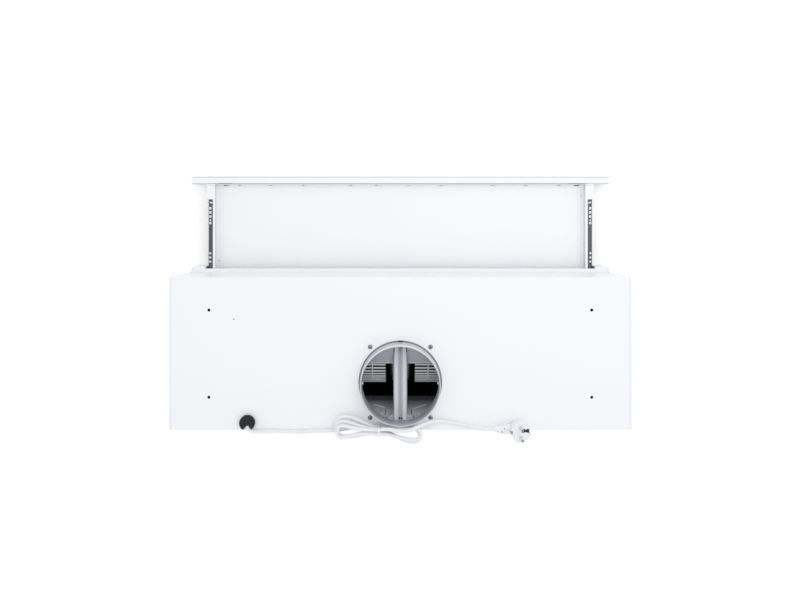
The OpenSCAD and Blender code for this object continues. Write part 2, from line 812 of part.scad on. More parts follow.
// The two cheeks close the housing's ends round the air inlets
module blower_cheeks() {
    color(plastic_grey) for (side = [-1, 1]) on_side(side) difference() {
        along_x(housing_x, housing_x + housing_t) scroll_outline(housing_t);
        rod_x(inlet_r, housing_x - 5, housing_x + 5, fan_y, fan_z);
        if (side > 0) rod_x(stud_r + 0.1, housing_x - 5, housing_x + 5, stud_y, stud_z);
    }
}

// The partition carries the motor. Its top is the two-lobed ridge that shows through the collar.
lid_t = 1.5;
ridge_top = flange_z - lid_t - 0.5;
module ridge_section() {
    lobe_r = 4.5;
    groove_r = 7;
    groove_depth = 2.2;
    difference() {
        union() {
            translate([-ridge_w / 2, 0]) square([ridge_w, ridge_top - lobe_r]);
            translate([-ridge_w / 2 + lobe_r, 0]) square([ridge_w - 2 * lobe_r, ridge_top]);
            for (s = [-1, 1]) translate([s * (ridge_w / 2 - lobe_r), ridge_top - lobe_r]) circle(lobe_r);
        }
        translate([0, ridge_top + groove_r - groove_depth]) circle(groove_r);
    }
}

module blower_partition() {
    fillet_r = 8;
    wall_y = duct_y + duct_r;
    narrow = 2.5;
    color(plastic_grey) difference() {
        intersection() {
            along_x(-ridge_w, ridge_w) scroll_outline(-play);
            union() {
                along_y(fan_y - 2 * scroll_r, back_y) ridge_section();
                translate([0, 0, fan_z]) linear_extrude(ridge_top - fan_z - 10) difference() {
                    translate([-ridge_w / 2 - fillet_r, wall_y - 14]) square([ridge_w + 2 * fillet_r, 20]);
                    for (s = [-1, 1]) translate([s * (ridge_w / 2 + fillet_r), wall_y - 16])
                        circle(fillet_r);
                }
            }
        }
        rod_x(motor_r + 0.1, -ridge_w, ridge_w, fan_y, fan_z);
        for (s = [-1, 1]) on_side(s) translate([ridge_w / 2, duct_y - duct_r, ridge_top - 8]) linear_extrude(20)
            polygon([[-narrow, -20], [1, -20], [1, 46], [0, 46], [-narrow, 20]]);
        hollow_partition();
    }
}

// The partition is a hollow moulding, open to the motor
module hollow_partition() {
    wall = 2.5;
    along_x(-ridge_w / 2 + wall, ridge_w / 2 - wall) intersection() {
        scroll_outline(-wall - play);
        translate([fan_y - 2 * scroll_r, 0]) square([4 * scroll_r, ridge_top - 6 - wall]);
    }
}

boss_r = 13;
module motor() {
    edge_r = 4;
    half = motor_l / 2;
    color(black) translate([0, fan_y, fan_z]) rotate([0, 90, 0]) difference() {
        rotate_extrude() {
            translate([0, -half]) square([motor_r - edge_r, motor_l]);
            translate([0, -half + edge_r]) square([motor_r, motor_l - 2 * edge_r]);
            for (s = [-1, 1]) translate([motor_r - edge_r, s * (half - edge_r)]) circle(edge_r);
            translate([0, -half - 3]) square([boss_r, motor_l + 6]);
        }
        translate([0, 0, -half - 10]) cylinder(r = shaft_r + 0.05, h = motor_l + 20);
    }
}

// Two clamp rings hold the motor in the partition
module motor_clamps() {
    ring_t = 3;
    color(steel) for (side = [-1, 1]) on_side(side) difference() {
        union() {
            rod_x(motor_r + 4, ridge_w / 2, ridge_w / 2 + ring_t, fan_y, fan_z);
            for (a = [30, 150, 270]) translate([ridge_w / 2, fan_y, fan_z]) rotate([a, 0, 0])
                translate([0, motor_r, 0]) rotate([0, 90, 0]) cylinder(r = 7, h = ring_t);
        }
        rod_x(motor_r + 0.1, 0, 2 * ridge_w, fan_y, fan_z);
    }
}

stud_r = 3.9;
stud_y = duct_y + 38;
stud_z = body_h - 34;
module capacitor() {
    can_r = 14;
    can_l = 52;
    color("gainsboro") {
        translate([housing_x + housing_t, stud_y, stud_z]) rotate([0, 90, 0]) rotate_extrude() {
            square([can_r - 2, can_l]);
            square([can_r, can_l - 2]);
            translate([can_r - 2, can_l - 2]) circle(2);
        }
        rod_x(stud_r, housing_x - 6, housing_x + housing_t, stud_y, stud_z);
    }
}

module motor_shaft() {
    color(steel) rod_x(shaft_r, -fan_x - fan_l, fan_x + fan_l, fan_y, fan_z);
}

// A squirrel cage: forward-curved blades between a hub plate, two ribs and an end ring
module impeller(side) {
    ring_t = 1.6;
    blade_depth = 8;
    curve_r = 7.2;
    ring_r = fan_r - blade_depth;
    bay = (fan_l - ring_t) / 3;
    color("darkgray") on_side(side) translate([fan_x, fan_y, fan_z]) rotate([0, 90, 0]) difference() {
        union() {
            linear_extrude(fan_l) for (i = [0 : blade_count - 1]) rotate(i * 360 / blade_count)
                intersection() {
                    translate([fan_r - blade_depth / 2 - 2, -curve_r + 1]) difference() {
                        circle(curve_r);
                        circle(curve_r - blade_t);
                    }
                    translate([ring_r + 0.4, -6]) square([blade_depth - 0.8, 12]);
                    translate([fan_r - blade_depth / 2 - 2, -curve_r + 1]) square([20, 20]);
                }
            cylinder(r = fan_r - 3.5, h = ring_t, $fn = 96);
            for (k = [1, 2, 3]) translate([0, 0, k * bay]) difference() {
                cylinder(r = fan_r, h = ring_t, $fn = 96);
                translate([0, 0, -1]) cylinder(r = ring_r + 1, h = ring_t + 2, $fn = 96);
            }
            cylinder(r = shaft_r + 6, h = 18);
        }
        translate([0, 0, -1]) cylinder(r = shaft_r + 0.02, h = fan_l + 2);
    }
}

// Cable entry

// Direction in which the lead leaves the gland, over the top plate
lead_turn = 97;
lead_dir = [cos(lead_turn), sin(lead_turn)];
slot_start = 5;
cord_r = cord_d / 2;
cord_rest = 0.3;
cord_z = body_h + cord_r + cord_rest;

module cable_gland() {
    rim_r = 2;
    jaw = cord_r + 0.8;
    color(black) difference() {
        union() {
            translate([gland_x, gland_y, 0]) rotate_extrude() {
                translate([0, body_h]) square([gland_d / 2 - rim_r, gland_h]);
                translate([0, body_h]) square([gland_d / 2, gland_h - rim_r]);
                translate([gland_d / 2 - rim_r, body_h + gland_h - rim_r]) circle(rim_r);
            }
            translate([gland_x, gland_y, inner_top - 6]) cylinder(r = stem_r, h = 8);
        }
        translate([gland_x, gland_y, body_h - 0.01]) rotate([0, 0, lead_turn]) hull() {
            translate([slot_start + jaw - 1.8, 0, 0]) cylinder(r = jaw, h = gland_h + 1);
            translate([gland_d / 2 + 4, -gland_d / 2 + 1, 0]) cube([1, gland_d - 2, gland_h + 1]);
        }
    }
}

module terminal_box() {
    wall = 2;
    rear = back_y - fold_r - 0.3;
    color(dark) difference() {
        translate([gland_x - terminal_w / 2, rear - terminal_d, inner_top - terminal_h])
            cube([terminal_w, terminal_d, terminal_h]);
        translate([gland_x - terminal_w / 2 + wall, rear - terminal_d + wall, inner_top - terminal_h + wall])
            cube([terminal_w - 2 * wall, terminal_d - 2 * wall, terminal_h - 2 * wall]);
        translate([gland_x, gland_y, inner_top - 10]) cylinder(r = stem_r + 0.1, h = 20);
    }
}

// Tubes swept along points

function unit(v) = v / norm(v);
function tangent(p, i) =
    i == 0 ? unit(p[1] - p[0]) :
    i == len(p) - 1 ? unit(p[i] - p[i - 1]) :
    unit(unit(p[i + 1] - p[i]) + unit(p[i] - p[i - 1]));

// Each ring lies across its tangent, and its first point is turned towards +Z
function ring(c, t, r, sides) =
    let (side = unit(cross(t, [0, 0, 1])), up = cross(side, t))
    [for (k = [0 : sides - 1]) c + r * (cos(360 * k / sides) * up + sin(360 * k / sides) * side)];

module tube(points, r, sides) {
    count = len(points);
    rings = [for (i = [0 : count - 1]) each ring(points[i], tangent(points, i), r, sides)];
    walls = [
        for (i = [0 : count - 2], k = [0 : sides - 1])
            let (a = i * sides + k, b = i * sides + (k + 1) % sides)
            each [[a, b, b + sides], [a, b + sides, a + sides]]
    ];
    first = [for (k = [1 : sides - 2]) [0, k + 1, k]];
    last = [for (k = [1 : sides - 2]) (count - 1) * sides * [1, 1, 1] + [0, k, k + 1]];
    polyhedron(points = rings, faces = concat(walls, first, last));
}

// A smooth path through the points, with steps pieces between each two of them
function between(p, i, s) =
    let (
        a = p[max(0, i - 1)], b = p[i], c = p[i + 1], d = p[min(len(p) - 1, i + 2)],
        m = (c - a) / 2, n = (d - b) / 2
    )
    (2 * s * s * s - 3 * s * s + 1) * b + (s * s * s - 2 * s * s + s) * m
        + (3 * s * s - 2 * s * s * s) * c + (s * s * s - s * s) * n;
function smooth(p, steps) = concat(
    [for (i = [0 : len(p) - 2], k = [0 : steps - 1]) between(p, i, k / steps)],
    [p[len(p) - 1]]
);

// The hank: loops that climb steadily round a waist, each a little narrower than the one below

waist = [41, back_y - 5.2];
hank_turns = 3;
hank_climb = cord_d + 1;
hank_z = cord_z + 1.2;
hank_tilt = [-3, -1];
hank_fan = 2;
hank_half = [86, 80];
hank_bulge = 41;
hank_fade = 0.08;
hank_shrink = 0.03;
hank_bow = 1.1;
hank_end_r = [13.5, -1.2];
hank_arc = 0.55;
hank_neck = (cord_d + 1) / 2;
hank_rings = 24;
hank_start = -20;

function bump(x) = x <= 0 ? 0 : x >= 1 ? 1 : x * x * (3 - 2 * x);

// The lobe on the gland's side swells like a bow. The other one is straight on the side of the duct
// and has a round end. Both are given in the hank's own plane, for an angle and a count of turns.
function bow_lobe(a, n) =
    let (c = cos(a), s = sin(a), bulge = hank_bulge * (1 - hank_fade * n))
    [
        hank_half[0] * c * (1 - hank_shrink * n * c),
        -s * (hank_neck + bulge * pow(c, 1.3 + hank_bow * max(0, n - 0.75))) - 3 * c * s * s
    ];
function round_lobe(a, n) =
    let (
        r = hank_end_r[0] + hank_end_r[1] * n,
        u = (a - 360 * floor(a / 360) - 180) / 90,
        k = (1 - abs(u)) / (1 - hank_arc),
        arc = 90 * u / hank_arc
    )
    abs(u) < hank_arc
        ? [-(hank_half[1] - r) - r * cos(arc), r - hank_neck + r * sin(arc)]
        : [-(hank_half[1] - r) * k, u < 0 ? -hank_neck : hank_neck + 2 * (r - hank_neck) * bump(k)];

// One point of the loops, at an angle counted from the end on the gland's side
function hank_point(a) =
    let (
        n = (a - 90) / 360,
        c = cos(a),
        flat = c > 0 ? bow_lobe(a, n) : round_lobe(a, n),
        turn = (hank_tilt[c > 0 ? 0 : 1] + hank_fan * (n - hank_turns / 2)) * bump(2 * abs(c))
    )
    [
        waist[0] + flat[0] * cos(turn) - flat[1] * sin(turn),
        waist[1] + flat[0] * sin(turn) + flat[1] * cos(turn),
        hank_z + hank_climb * n + 2.2 * bump(2 * c)
    ];

// The lead runs in under the end of the hank and joins the loops at the waist
waist_in = hank_point(90);
hank_entry = [150, back_y + 0.4, cord_z];
entry_points = [
    [142, back_y + 0.2, cord_z], [120, back_y - 1.4, cord_z], [100, back_y - 4.5, cord_z],
    [80, back_y - 8, cord_z], [62, back_y - 10, cord_z + 0.4], waist_in
];
hank_out = hank_point(90 + 360 * hank_turns);
hank_points = concat(
    [hank_entry],
    smooth(entry_points, 3),
    [for (i = [1 : hank_turns * hank_rings]) hank_point(90 + 360 * i / hank_rings)],
    [hank_out + [-8, -1.6, 1]]
);

// Least distance between the tube and itself, measured between points more than a few steps apart
function gap_at(i) = min([
    for (j = [i + 4 : len(hank_points) - 1])
        if (norm(hank_points[i] - hank_points[j]) < 30) norm(hank_points[i] - hank_points[j]),
    99
]);
hank_gap = min([for (i = [0 : len(hank_points) - 6]) gap_at(i)]) - cord_d;
echo("least gap in the hank", hank_gap);

module lead_hank() {
    color(white) tube(hank_points, cord_r, 6);
}

module hank_tie() {
    tie_w = 4;
    tie_t = 0.8;
    wide = 2 * hank_neck + cord_d + 1.6;
    high = hank_turns * hank_climb + cord_d + 1.6;
    color("gainsboro") translate([waist[0], waist[1], hank_z - cord_r - 0.8])
        along_x(-tie_w / 2, tie_w / 2) difference() {
            translate([-wide / 2 - tie_t, -tie_t / 2]) round_rect(wide + 2 * tie_t, high + 1.5 * tie_t, 3);
            translate([-wide / 2, tie_t / 2]) round_rect(wide, high - tie_t / 2, 2.4);
        }
}

// The lead: out of the gland, round towards the hank, along the back edge
lead_from = [gland_x + slot_start * lead_dir[0], gland_y + slot_start * lead_dir[1], cord_z];
lead_points = [
    lead_from, [gland_x - 1.5, back_y - 5.3, cord_z], [gland_x - 3.9, back_y - 1.7, cord_z],
    [gland_x - 7.5, back_y + 0.7, cord_z], [gland_x - 11.8, back_y + 1.5, cord_z],
    [gland_x - 22, back_y + 1.5, cord_z],
    [256, back_y + 1.2, cord_z], [234, back_y + 1, cord_z], [214, back_y + 1.8, cord_z],
    [198, back_y + 2, cord_z], [182, back_y + 1.6, cord_z], [166, back_y + 0.8, cord_z],
    [150, back_y + 0.4, cord_z]
];

module mains_lead() {
    color(white) tube(smooth(lead_points, 2), cord_r, 8);
}

// The tail: over the end of the hank, down to the plate and along to the plug
plug_x = -227.5;
plug_y = back_y - 5.5;
relief_z = body_h + 11;
relief_tip = -179;
tail_points = [
    hank_points[len(hank_points) - 1],
    [20, back_y - 11.2, 212.5], [6, back_y - 9.3, 214], [-14, back_y - 9.4, 214],
    [-34, back_y - 14.8, 208], [-54, back_y - 19.3, 194], [-72, back_y - 19.2, 186],
    [-92, back_y - 17.2, cord_z], [-110, back_y - 14, cord_z], [-126, back_y - 10.8, 184.6],
    [-142, back_y - 7.6, 187], [-156, back_y - 6, 189.6], [-170, plug_y, relief_z],
    [relief_tip, plug_y, relief_z]
];

module plug_tail() {
    color(white) tube(smooth(tail_points, 2), cord_r, 8);
}

// The plug lies on its back with its pins up
face_r = 18.85;
face_z = body_h + 35;
module plug_body() {
    foot = body_h + cord_rest;
    neck_r = 9;
    color(white) difference() {
        union() {
            translate([plug_x, plug_y, 0]) rotate_extrude() polygon([
                [0, foot], [11, foot], [14, foot + 1.5], [16.5, foot + 6], [17.6, foot + 13],
                [face_r, foot + 20], [face_r, face_z - 1], [face_r - 1, face_z], [0, face_z]
            ]);
            rod_x(neck_r, plug_x, plug_x + 25, plug_y, relief_z);
            translate([plug_x + 25, plug_y, relief_z]) rotate([0, 90, 0])
                cylinder(r1 = neck_r, r2 = cord_r + 1.2, h = relief_tip - plug_x - 25);
            for (i = [0 : 3])
                rod_x(neck_r - 0.4 - i * 0.9, plug_x + 27 + 5 * i, plug_x + 29.5 + 5 * i, plug_y, relief_z);
        }
        for (s = [-1, 1]) translate([plug_x + s * (face_r - 1.4) - 2, plug_y - 3.2, face_z - 14])
            cube([4, 6.4, 15]);
    }
}

module plug_pins() {
    pin_r = 2.4;
    pin_l = 19;
    color(steel) {
        for (s = [-1, 1]) translate([plug_x, plug_y + s * 9.5, face_z]) {
            cylinder(r = pin_r, h = pin_l - 1);
            translate([0, 0, pin_l - 1]) cylinder(r1 = pin_r, r2 = pin_r - 1, h = 1);
        }
        for (s = [-1, 1]) translate([plug_x + s * (face_r - 3) - 0.4, plug_y - 2.5, face_z - 14])
            cube([0.8, 5, 13]);
    }
}

casing_wrap();
side_panel(-1);  // side_panel_left
side_panel(1);  // side_panel_right
front_trim();
bottom_frame();
rail_bracket(-1);  // rail_bracket_left
rail_bracket(1);  // rail_bracket_right
slide_casing(-1);  // slide_casing_left
slide_casing(1);  // slide_casing_right
slide_middle(-1);  // slide_middle_left
slide_middle(1);  // slide_middle_right
slide_drawer(-1);  // slide_drawer_left
slide_drawer(1);  // slide_drawer_right
ball_cages_front();
ball_cages_rear();
balls_front();
balls_rear();
drawer_strip();
strip_end_caps();
drawer_panel();
drawer_bracket(-1);  // drawer_bracket_left
drawer_bracket(1);  // drawer_bracket_right
drawer_filter_frame();
drawer_filter_mesh();
panel_screws();
button_bezel();
switch_box();
button(0);  // button_off
button(1);  // button_low
button(2);  // button_medium
button(3);  // button_high
button(4);  // button_light
duct_collar();
collar_screws();
blower_housing();
blower_cheeks();
blower_partition();
motor();
motor_clamps();
capacitor();
motor_shaft();
impeller(-1);  // impeller_left
impeller(1);  // impeller_right
filter_frame(-1);  // filter_frame_left
filter_frame(1);  // filter_frame_right
filter_mesh(-1);  // filter_mesh_left
filter_mesh(1);  // filter_mesh_right
filter_latch(-1);  // filter_latch_left
filter_latch(1);  // filter_latch_right
lamp_cans();
lamp_bezels();
lamp_lenses();
cable_gland();
terminal_box();
mains_lead();
lead_hank();
hank_tie();
plug_tail();
plug_body();
plug_pins();
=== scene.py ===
"""Dresses a slide-out range hood: its finishes, the mains lead and the small trim."""

import math

import bmesh
import bpy
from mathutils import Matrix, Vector


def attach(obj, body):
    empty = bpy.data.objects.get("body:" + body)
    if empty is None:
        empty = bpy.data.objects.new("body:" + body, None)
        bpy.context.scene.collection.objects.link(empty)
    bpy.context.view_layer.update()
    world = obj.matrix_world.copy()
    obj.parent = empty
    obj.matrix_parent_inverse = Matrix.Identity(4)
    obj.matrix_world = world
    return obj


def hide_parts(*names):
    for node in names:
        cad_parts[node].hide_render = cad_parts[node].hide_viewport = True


bl_info = {
    "name": "Range hood dressing",
    "version": (1, 0, 0),
    "blender": (4, 5, 0),
    "location": "View3D > Sidebar > Hood",
    "description": "Finishes, lead and trim of a slide-out range hood",
    "category": "Object",
}

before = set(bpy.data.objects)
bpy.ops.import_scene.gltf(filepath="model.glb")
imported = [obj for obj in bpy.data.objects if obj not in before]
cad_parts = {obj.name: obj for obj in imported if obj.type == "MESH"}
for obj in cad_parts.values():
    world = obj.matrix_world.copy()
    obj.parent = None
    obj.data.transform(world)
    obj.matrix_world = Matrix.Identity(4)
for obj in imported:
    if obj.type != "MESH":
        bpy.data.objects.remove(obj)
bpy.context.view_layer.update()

MM = 0.001

# Places and sizes that the materials need, in metres in the shared frame
STRIP_FRONT_Y = -0.2494
STRIP_JOINT_Y = -0.2352
STRIP_TOP_Z = 0.036
JOINT_END_X = 0.377
PANEL_EDGE_X = 0.4015
PANEL_PRESSINGS_X = (0.3855, 0.3916)
CASING_BEND_X = 0.4452
LIP_JOINT_Y = -0.0452
LIP_TOP_Z = 0.05

DUCT_Y = 0.158
COLLAR_SCREW_X = 0.0585
COLLAR_SCREW_Y = 0.0685
SCREW_RIM_R = 0.0029
SCREW_CROSS_R = 0.0027
SCREW_CROSS_Z = 0.1823
COLLAR_FOOT_R = 0.0775
COLLAR_FOOT_Z = 0.1812
COLLAR_RIM_R = 0.0767
COLLAR_RIM_Z = 0.205
COLLAR_BORE_R = 0.0747
COLLAR_BORE_Z = 0.211
COLLAR_STUD_R = 0.0742
COLLAR_STUD_HALF = 0.0028

FAN_Y = 0.1275
FAN_Z = 0.105
CAGE_EDGE_R = 0.0455
CAGE_INNER_X = 0.0292
TONGUE_Y = 0.128
TONGUE_EDGE_Y = 0.1252
TONGUE_EDGE_Z = 0.15
RIDGE_HOLLOW_X = 0.0052
RIDGE_EDGE_X = 0.0128
RIDGE_FRONT_Y = 0.104
RIDGE_BACK_Y = 0.2235
RIDGE_SHOULDER_Z = 0.172
BLOWER_SHADOW_Z = 0.083

GLAND_RIM_R = 0.0125
FOIL_PITCH = 0.0042
PIN_ROOT_Z = 0.2175
PIN_TIP_Z = 0.2315
BUTTON_X = 0.355
BUTTON_Z = 0.021
BUTTON_PITCH = 0.017
BUTTON_GROOVE_R = 0.0038
BUTTON_RIM_R = 0.0040


def shade(red, green, blue):
    """The linear colour that shaders read, from a colour as it looks on screen, 0 to 255."""
    def linear(level):
        level /= 255
        return level / 12.92 if level <= 0.04045 else ((level + 0.055) / 1.055) ** 2.4
    return (linear(red), linear(green), linear(blue))


# Sizes and colours that a user may change

class HoodPaint(bpy.types.PropertyGroup):
    top: bpy.props.FloatVectorProperty(
        name="Paint", description="Colour of the powder-coated sheet", subtype="COLOR", size=3,
        min=0, max=1, default=shade(248, 249, 252))
    orange_peel: bpy.props.FloatProperty(
        name="Orange peel", description="Depth of the paint's ripple", unit="LENGTH",
        min=0, max=0.0005, default=0.00006)
    gloss: bpy.props.FloatProperty(
        name="Roughness", description="Roughness of the paint", min=0, max=1, default=0.38)


class HoodMetal(bpy.types.PropertyGroup):
    slide: bpy.props.FloatVectorProperty(
        name="Slides", description="Colour of the greased slide members", subtype="COLOR", size=3,
        min=0, max=1, default=shade(95, 98, 106))
    aluminium: bpy.props.FloatVectorProperty(
        name="Filters", description="Colour of the grease filters", subtype="COLOR", size=3,
        min=0, max=1, default=shade(212, 214, 218))
    rivet_radius: bpy.props.FloatProperty(
        name="Rivet", description="Radius of the rivet on each drawer slide", unit="LENGTH",
        min=0.001, max=0.003, default=0.0018)
    chrome: bpy.props.FloatVectorProperty(
        name="Screws", description="Colour of the collar's chromed screws", subtype="COLOR",
        size=3, min=0, max=1, default=shade(222, 223, 228))


class HoodPlastic(bpy.types.PropertyGroup):
    collar: bpy.props.FloatVectorProperty(
        name="Collar", description="Colour of the duct collar", subtype="COLOR", size=3,
        min=0, max=1, default=shade(208, 209, 215))
    blower: bpy.props.FloatVectorProperty(
        name="Blower", description="Colour of the blower's mouldings", subtype="COLOR", size=3,
        min=0, max=1, default=shade(208, 214, 226))
    ridge: bpy.props.FloatVectorProperty(
        name="Ridge", description="Colour of the motor cover's ridge", subtype="COLOR", size=3,
        min=0, max=1, default=shade(216, 217, 224))
    impeller: bpy.props.FloatVectorProperty(
        name="Impellers", description="Colour of the impellers' blades", subtype="COLOR", size=3,
        min=0, max=1, default=shade(232, 233, 238))
    gland: bpy.props.FloatVectorProperty(
        name="Gland", description="Colour of the cable gland", subtype="COLOR", size=3,
        min=0, max=1, default=shade(30, 31, 35))
    rib: bpy.props.FloatProperty(
        name="Rib", description="Height of the ribs moulded on the outlet's back wall",
        unit="LENGTH", min=0.0003, max=0.002, default=0.0008)


class HoodLead(bpy.types.PropertyGroup):
    diameter: bpy.props.FloatProperty(
        name="Diameter", description="Diameter of the mains lead", unit="LENGTH",
        min=0.006, max=0.0072, default=0.007)
    colour: bpy.props.FloatVectorProperty(
        name="Colour", description="Colour of the lead and its plug", subtype="COLOR", size=3,
        min=0, max=1, default=shade(242, 243, 247))


class HoodStudio(bpy.types.PropertyGroup):
    sky: bpy.props.FloatProperty(
        name="Sky", description="Strength of the even light from all round",
        min=0, max=2, default=0.86)
    panel_power: bpy.props.FloatProperty(
        name="Panel", description="Power of the soft lamp above the front", unit="POWER",
        min=0, max=50, default=11.8)


# Materials

class Link:
    """A shader socket that takes part in Python arithmetic: each step adds its Math node."""

    def __init__(self, shader, socket):
        self.shader = shader
        self.socket = socket

    def maths(self, operation, *others):
        return self.shader.maths(operation, self, *others)

    def __add__(self, other):
        return self.maths("ADD", other)

    __radd__ = __add__

    def __mul__(self, other):
        return self.maths("MULTIPLY", other)

    __rmul__ = __mul__

    def __sub__(self, other):
        return self.maths("SUBTRACT", other)

    def __rsub__(self, other):
        return self.shader.maths("SUBTRACT", other, self)

    def __truediv__(self, other):
        return self.maths("DIVIDE", other)

    def __pow__(self, other):
        return self.maths("POWER", other)

    def __gt__(self, other):
        return self.maths("GREATER_THAN", other)

    def __lt__(self, other):
        return self.maths("LESS_THAN", other)

    def abs(self):
        return self.maths("ABSOLUTE")

    def sine(self):
        return self.maths("SINE")

    def clamp(self):
        return self.shader.node("Clamp", Value=self)


class Shader:
    """A node tree, with one method that adds any node to it."""

    def __init__(self, tree):
        self.tree = tree

    def feed(self, socket, value):
        if isinstance(value, Link):
            self.tree.links.new(value.socket, socket)
        elif socket.type == "RGBA":
            socket.default_value = (*value, 1)
        else:
            socket.default_value = value

    def node(self, kind, settings=None, output=0, numbered=None, **named):
        """Adds a node of a kind, sets it up, feeds its sockets, and returns one of its outputs.

        numbered feeds sockets by their number, and named by their name."""
        node = self.tree.nodes.new("ShaderNode" + kind)
        for setting, value in (settings or {}).items():
            setattr(node, setting, value)
        for number, value in (numbered or {}).items():
            self.feed(node.inputs[number], value)
        for name, value in named.items():
            self.feed(node.inputs[name.replace("_", " ")], value)
        return Link(self, node.outputs[output])

    def maths(self, operation, *values):
        return self.node("Math", {"operation": operation}, numbered=dict(enumerate(values)))

    def rays(self, *kinds):
        """1 for rays of the given kinds, and 0 for the others."""
        found = [self.node("LightPath", output=f"Is {kind} Ray") for kind in kinds]
        seen = found[0]
        for other in found[1:]:
            seen = seen.maths("MAXIMUM", other)
        return seen


class Finish(Shader):
    """One material with its Principled shader, and short ways to add what its surface needs."""

    def __init__(self, name, colour, roughness=0.5, metallic=0.0, **constants):
        self.material = bpy.data.materials.new(name)
        self.material.use_nodes = True
        super().__init__(self.material.node_tree)
        self.surface = self.tree.nodes["Principled BSDF"]
        self.feed(self.surface.inputs["Base Color"], colour)
        self.feed(self.surface.inputs["Roughness"], roughness)
        self.feed(self.surface.inputs["Metallic"], metallic)
        for socket, value in constants.items():
            self.feed(self.surface.inputs[socket.replace("_", " ")], value)
        self.material.diffuse_color = (*colour, 1)

    def place(self, scale=(1, 1, 1)):
        where = self.node("TexCoord", output="Object")
        return self.node("Mapping", Vector=where, Scale=scale)

    def axes(self):
        parts = self.node("SeparateXYZ", Vector=self.node("TexCoord", output="Object"))
        return [Link(self, output) for output in parts.socket.node.outputs]

    def noise(self, scale, detail=3.0, stretch=(1, 1, 1)):
        return self.node("TexNoise", Vector=self.place(stretch), Scale=scale, Detail=detail)

    def tint(self, amount, dark, light):
        """Mixes two colours by an amount from 0 to 1."""
        return self.node("Mix", {"data_type": "RGBA"}, 2, {0: amount, 6: dark, 7: light})

    def paint(self, colour):
        self.feed(self.surface.inputs["Base Color"], colour)

    def rough(self, value):
        self.feed(self.surface.inputs["Roughness"], value)

    def bump(self, height, depth, strength=1.0):
        """Raises the surface by height, which runs from 0 to 1, times a depth in metres."""
        bumped = self.node("Bump", Height=height, Distance=depth, Strength=strength)
        self.feed(self.surface.inputs["Normal"], bumped)


def dim(colour, factor):
    return tuple(c * factor for c in colour)


def powder_coat(name="powder_coat", lines=None):
    """White powder coat: a fine ripple, faint mottling, a painted shade towards the back and one
    side, and any lines.

    lines gives the mask of the pressed lines, bends and joints and how dark they are; the pressed
    lines and bends carry painted shade, and the strip's joint a painted shadow."""
    look = bpy.context.scene.hood_paint
    colour = tuple(look.top)
    paint = Finish(name, colour, look.gloss, Coat_Weight=0.15, Coat_Roughness=0.2)
    mottle = paint.noise(7, 4)
    fine = paint.noise(420, 2)
    x, y, z = paint.axes()
    # painted shade: the coat is darkened towards the back and towards one side, where less light
    # falls
    back_and_side_shade = ((y - 0.12) * 5).clamp() * 0.4 + ((x - 0.1) * 1.6).clamp() * 0.3
    tone = paint.tint((mottle * 0.25 + back_and_side_shade).clamp(), colour, dim(colour, 0.96))
    if lines:
        line, depth = lines(x, y, z)
        tone = paint.tint(line.clamp(), tone, dim(colour, depth))
        paint.bump(fine * 0.3 - line.clamp(), look.orange_peel * 3, 0.5)
    else:
        paint.bump(fine, look.orange_peel, 0.5)
    paint.paint(tone)
    paint.rough(fine * 0.08 + mottle * 0.08 + (look.gloss - 0.08))
    return paint.material


def band(value, middle, half, soft=0.0002):
    """1 within half of a middle value and 0 outside, with a soft edge."""
    return ((value - middle).abs() * -1 + (half + soft)) / soft


def strip_lines(x, y, z):
    """Painted shade on the strip's front bend, and a painted shadow along its joint with the
    panel, darkest near the brackets.
    """
    # painted shade on the front bend, and a painted shadow along the joint, deeper over the panel
    # and near the brackets
    front = band(y, STRIP_FRONT_Y, 0.0010).clamp() * (z > STRIP_TOP_Z)
    joint_shadow = band(y, STRIP_JOINT_Y, 0.0010).clamp() * (z > STRIP_TOP_Z)
    ends = band(x.abs(), JOINT_END_X, 0.014, 0.004).clamp()
    panel = (x.abs() < PANEL_EDGE_X) * 0.25
    return front * 0.55 + joint_shadow * (ends * 0.4 + panel + 0.4), 0.3


def panel_lines(x, _y, _z):
    """Two pressed lines along each side of the cover panel, with painted shade in them."""
    side = x.abs()
    # painted shade in the pressed lines
    inner, outer = [band(side, place, 0.0004).clamp() * 0.6 for place in PANEL_PRESSINGS_X]
    return inner + outer, 0.8


def casing_lines(x, y, z):
    """Painted shade on the top plate's bends at its sides, and the dark joint with the lip."""
    # painted shade where the side bends turn away from the light
    side = band(x.abs(), CASING_BEND_X, 0.0016, 0.0008).clamp()
    lip = band(y, LIP_JOINT_Y, 0.0005).clamp() * (z < LIP_TOP_Z)
    return side * 0.35 + lip * 0.5, 0.82


def greased_steel():
    """Zinc-plated slide steel with drawn streaks along it and grease in patches."""
    colour = tuple(bpy.context.scene.hood_metal.slide)
    steel = Finish("slide_steel", colour, 0.4, 0.75)
    streaks = steel.noise(260, 3, (1, 0.04, 1))
    grease = steel.noise(38, 4)
    wear_and_shade = (grease * 1.6 - 0.4).clamp()
    bright = (streaks * 0.55 + wear_and_shade * 0.35).clamp()
    steel.paint(steel.tint(bright, dim(colour, 0.62), dim(colour, 1.25)))
    steel.rough(wear_and_shade * 0.2 + streaks * 0.14 + 0.22)
    steel.bump(streaks, 0.0001, 0.35)
    return steel.material


def pressed_steel(name, colour, roughness=0.42):
    """Plain plated sheet with its spangle and rolling marks."""
    sheet = Finish(name, colour, roughness, 0.8)
    spangle = sheet.node("TexVoronoi", Vector=sheet.place(), Scale=90.0)
    rolled = sheet.noise(180, 2, (0.05, 1, 1))
    sheet.paint(sheet.tint((spangle * 0.5 + rolled * 0.4).clamp(), dim(colour, 0.82), colour))
    sheet.rough(spangle * 0.12 + (roughness - 0.06))
    sheet.bump(rolled, 0.00008, 0.3)
    return sheet.material


def bright_steel():
    ball = Finish("bright_steel", shade(222, 223, 226), 0.16, 0.9)
    patchy_noise = ball.noise(300, 2)
    ball.rough(patchy_noise * 0.14 + 0.1)
    return ball.material


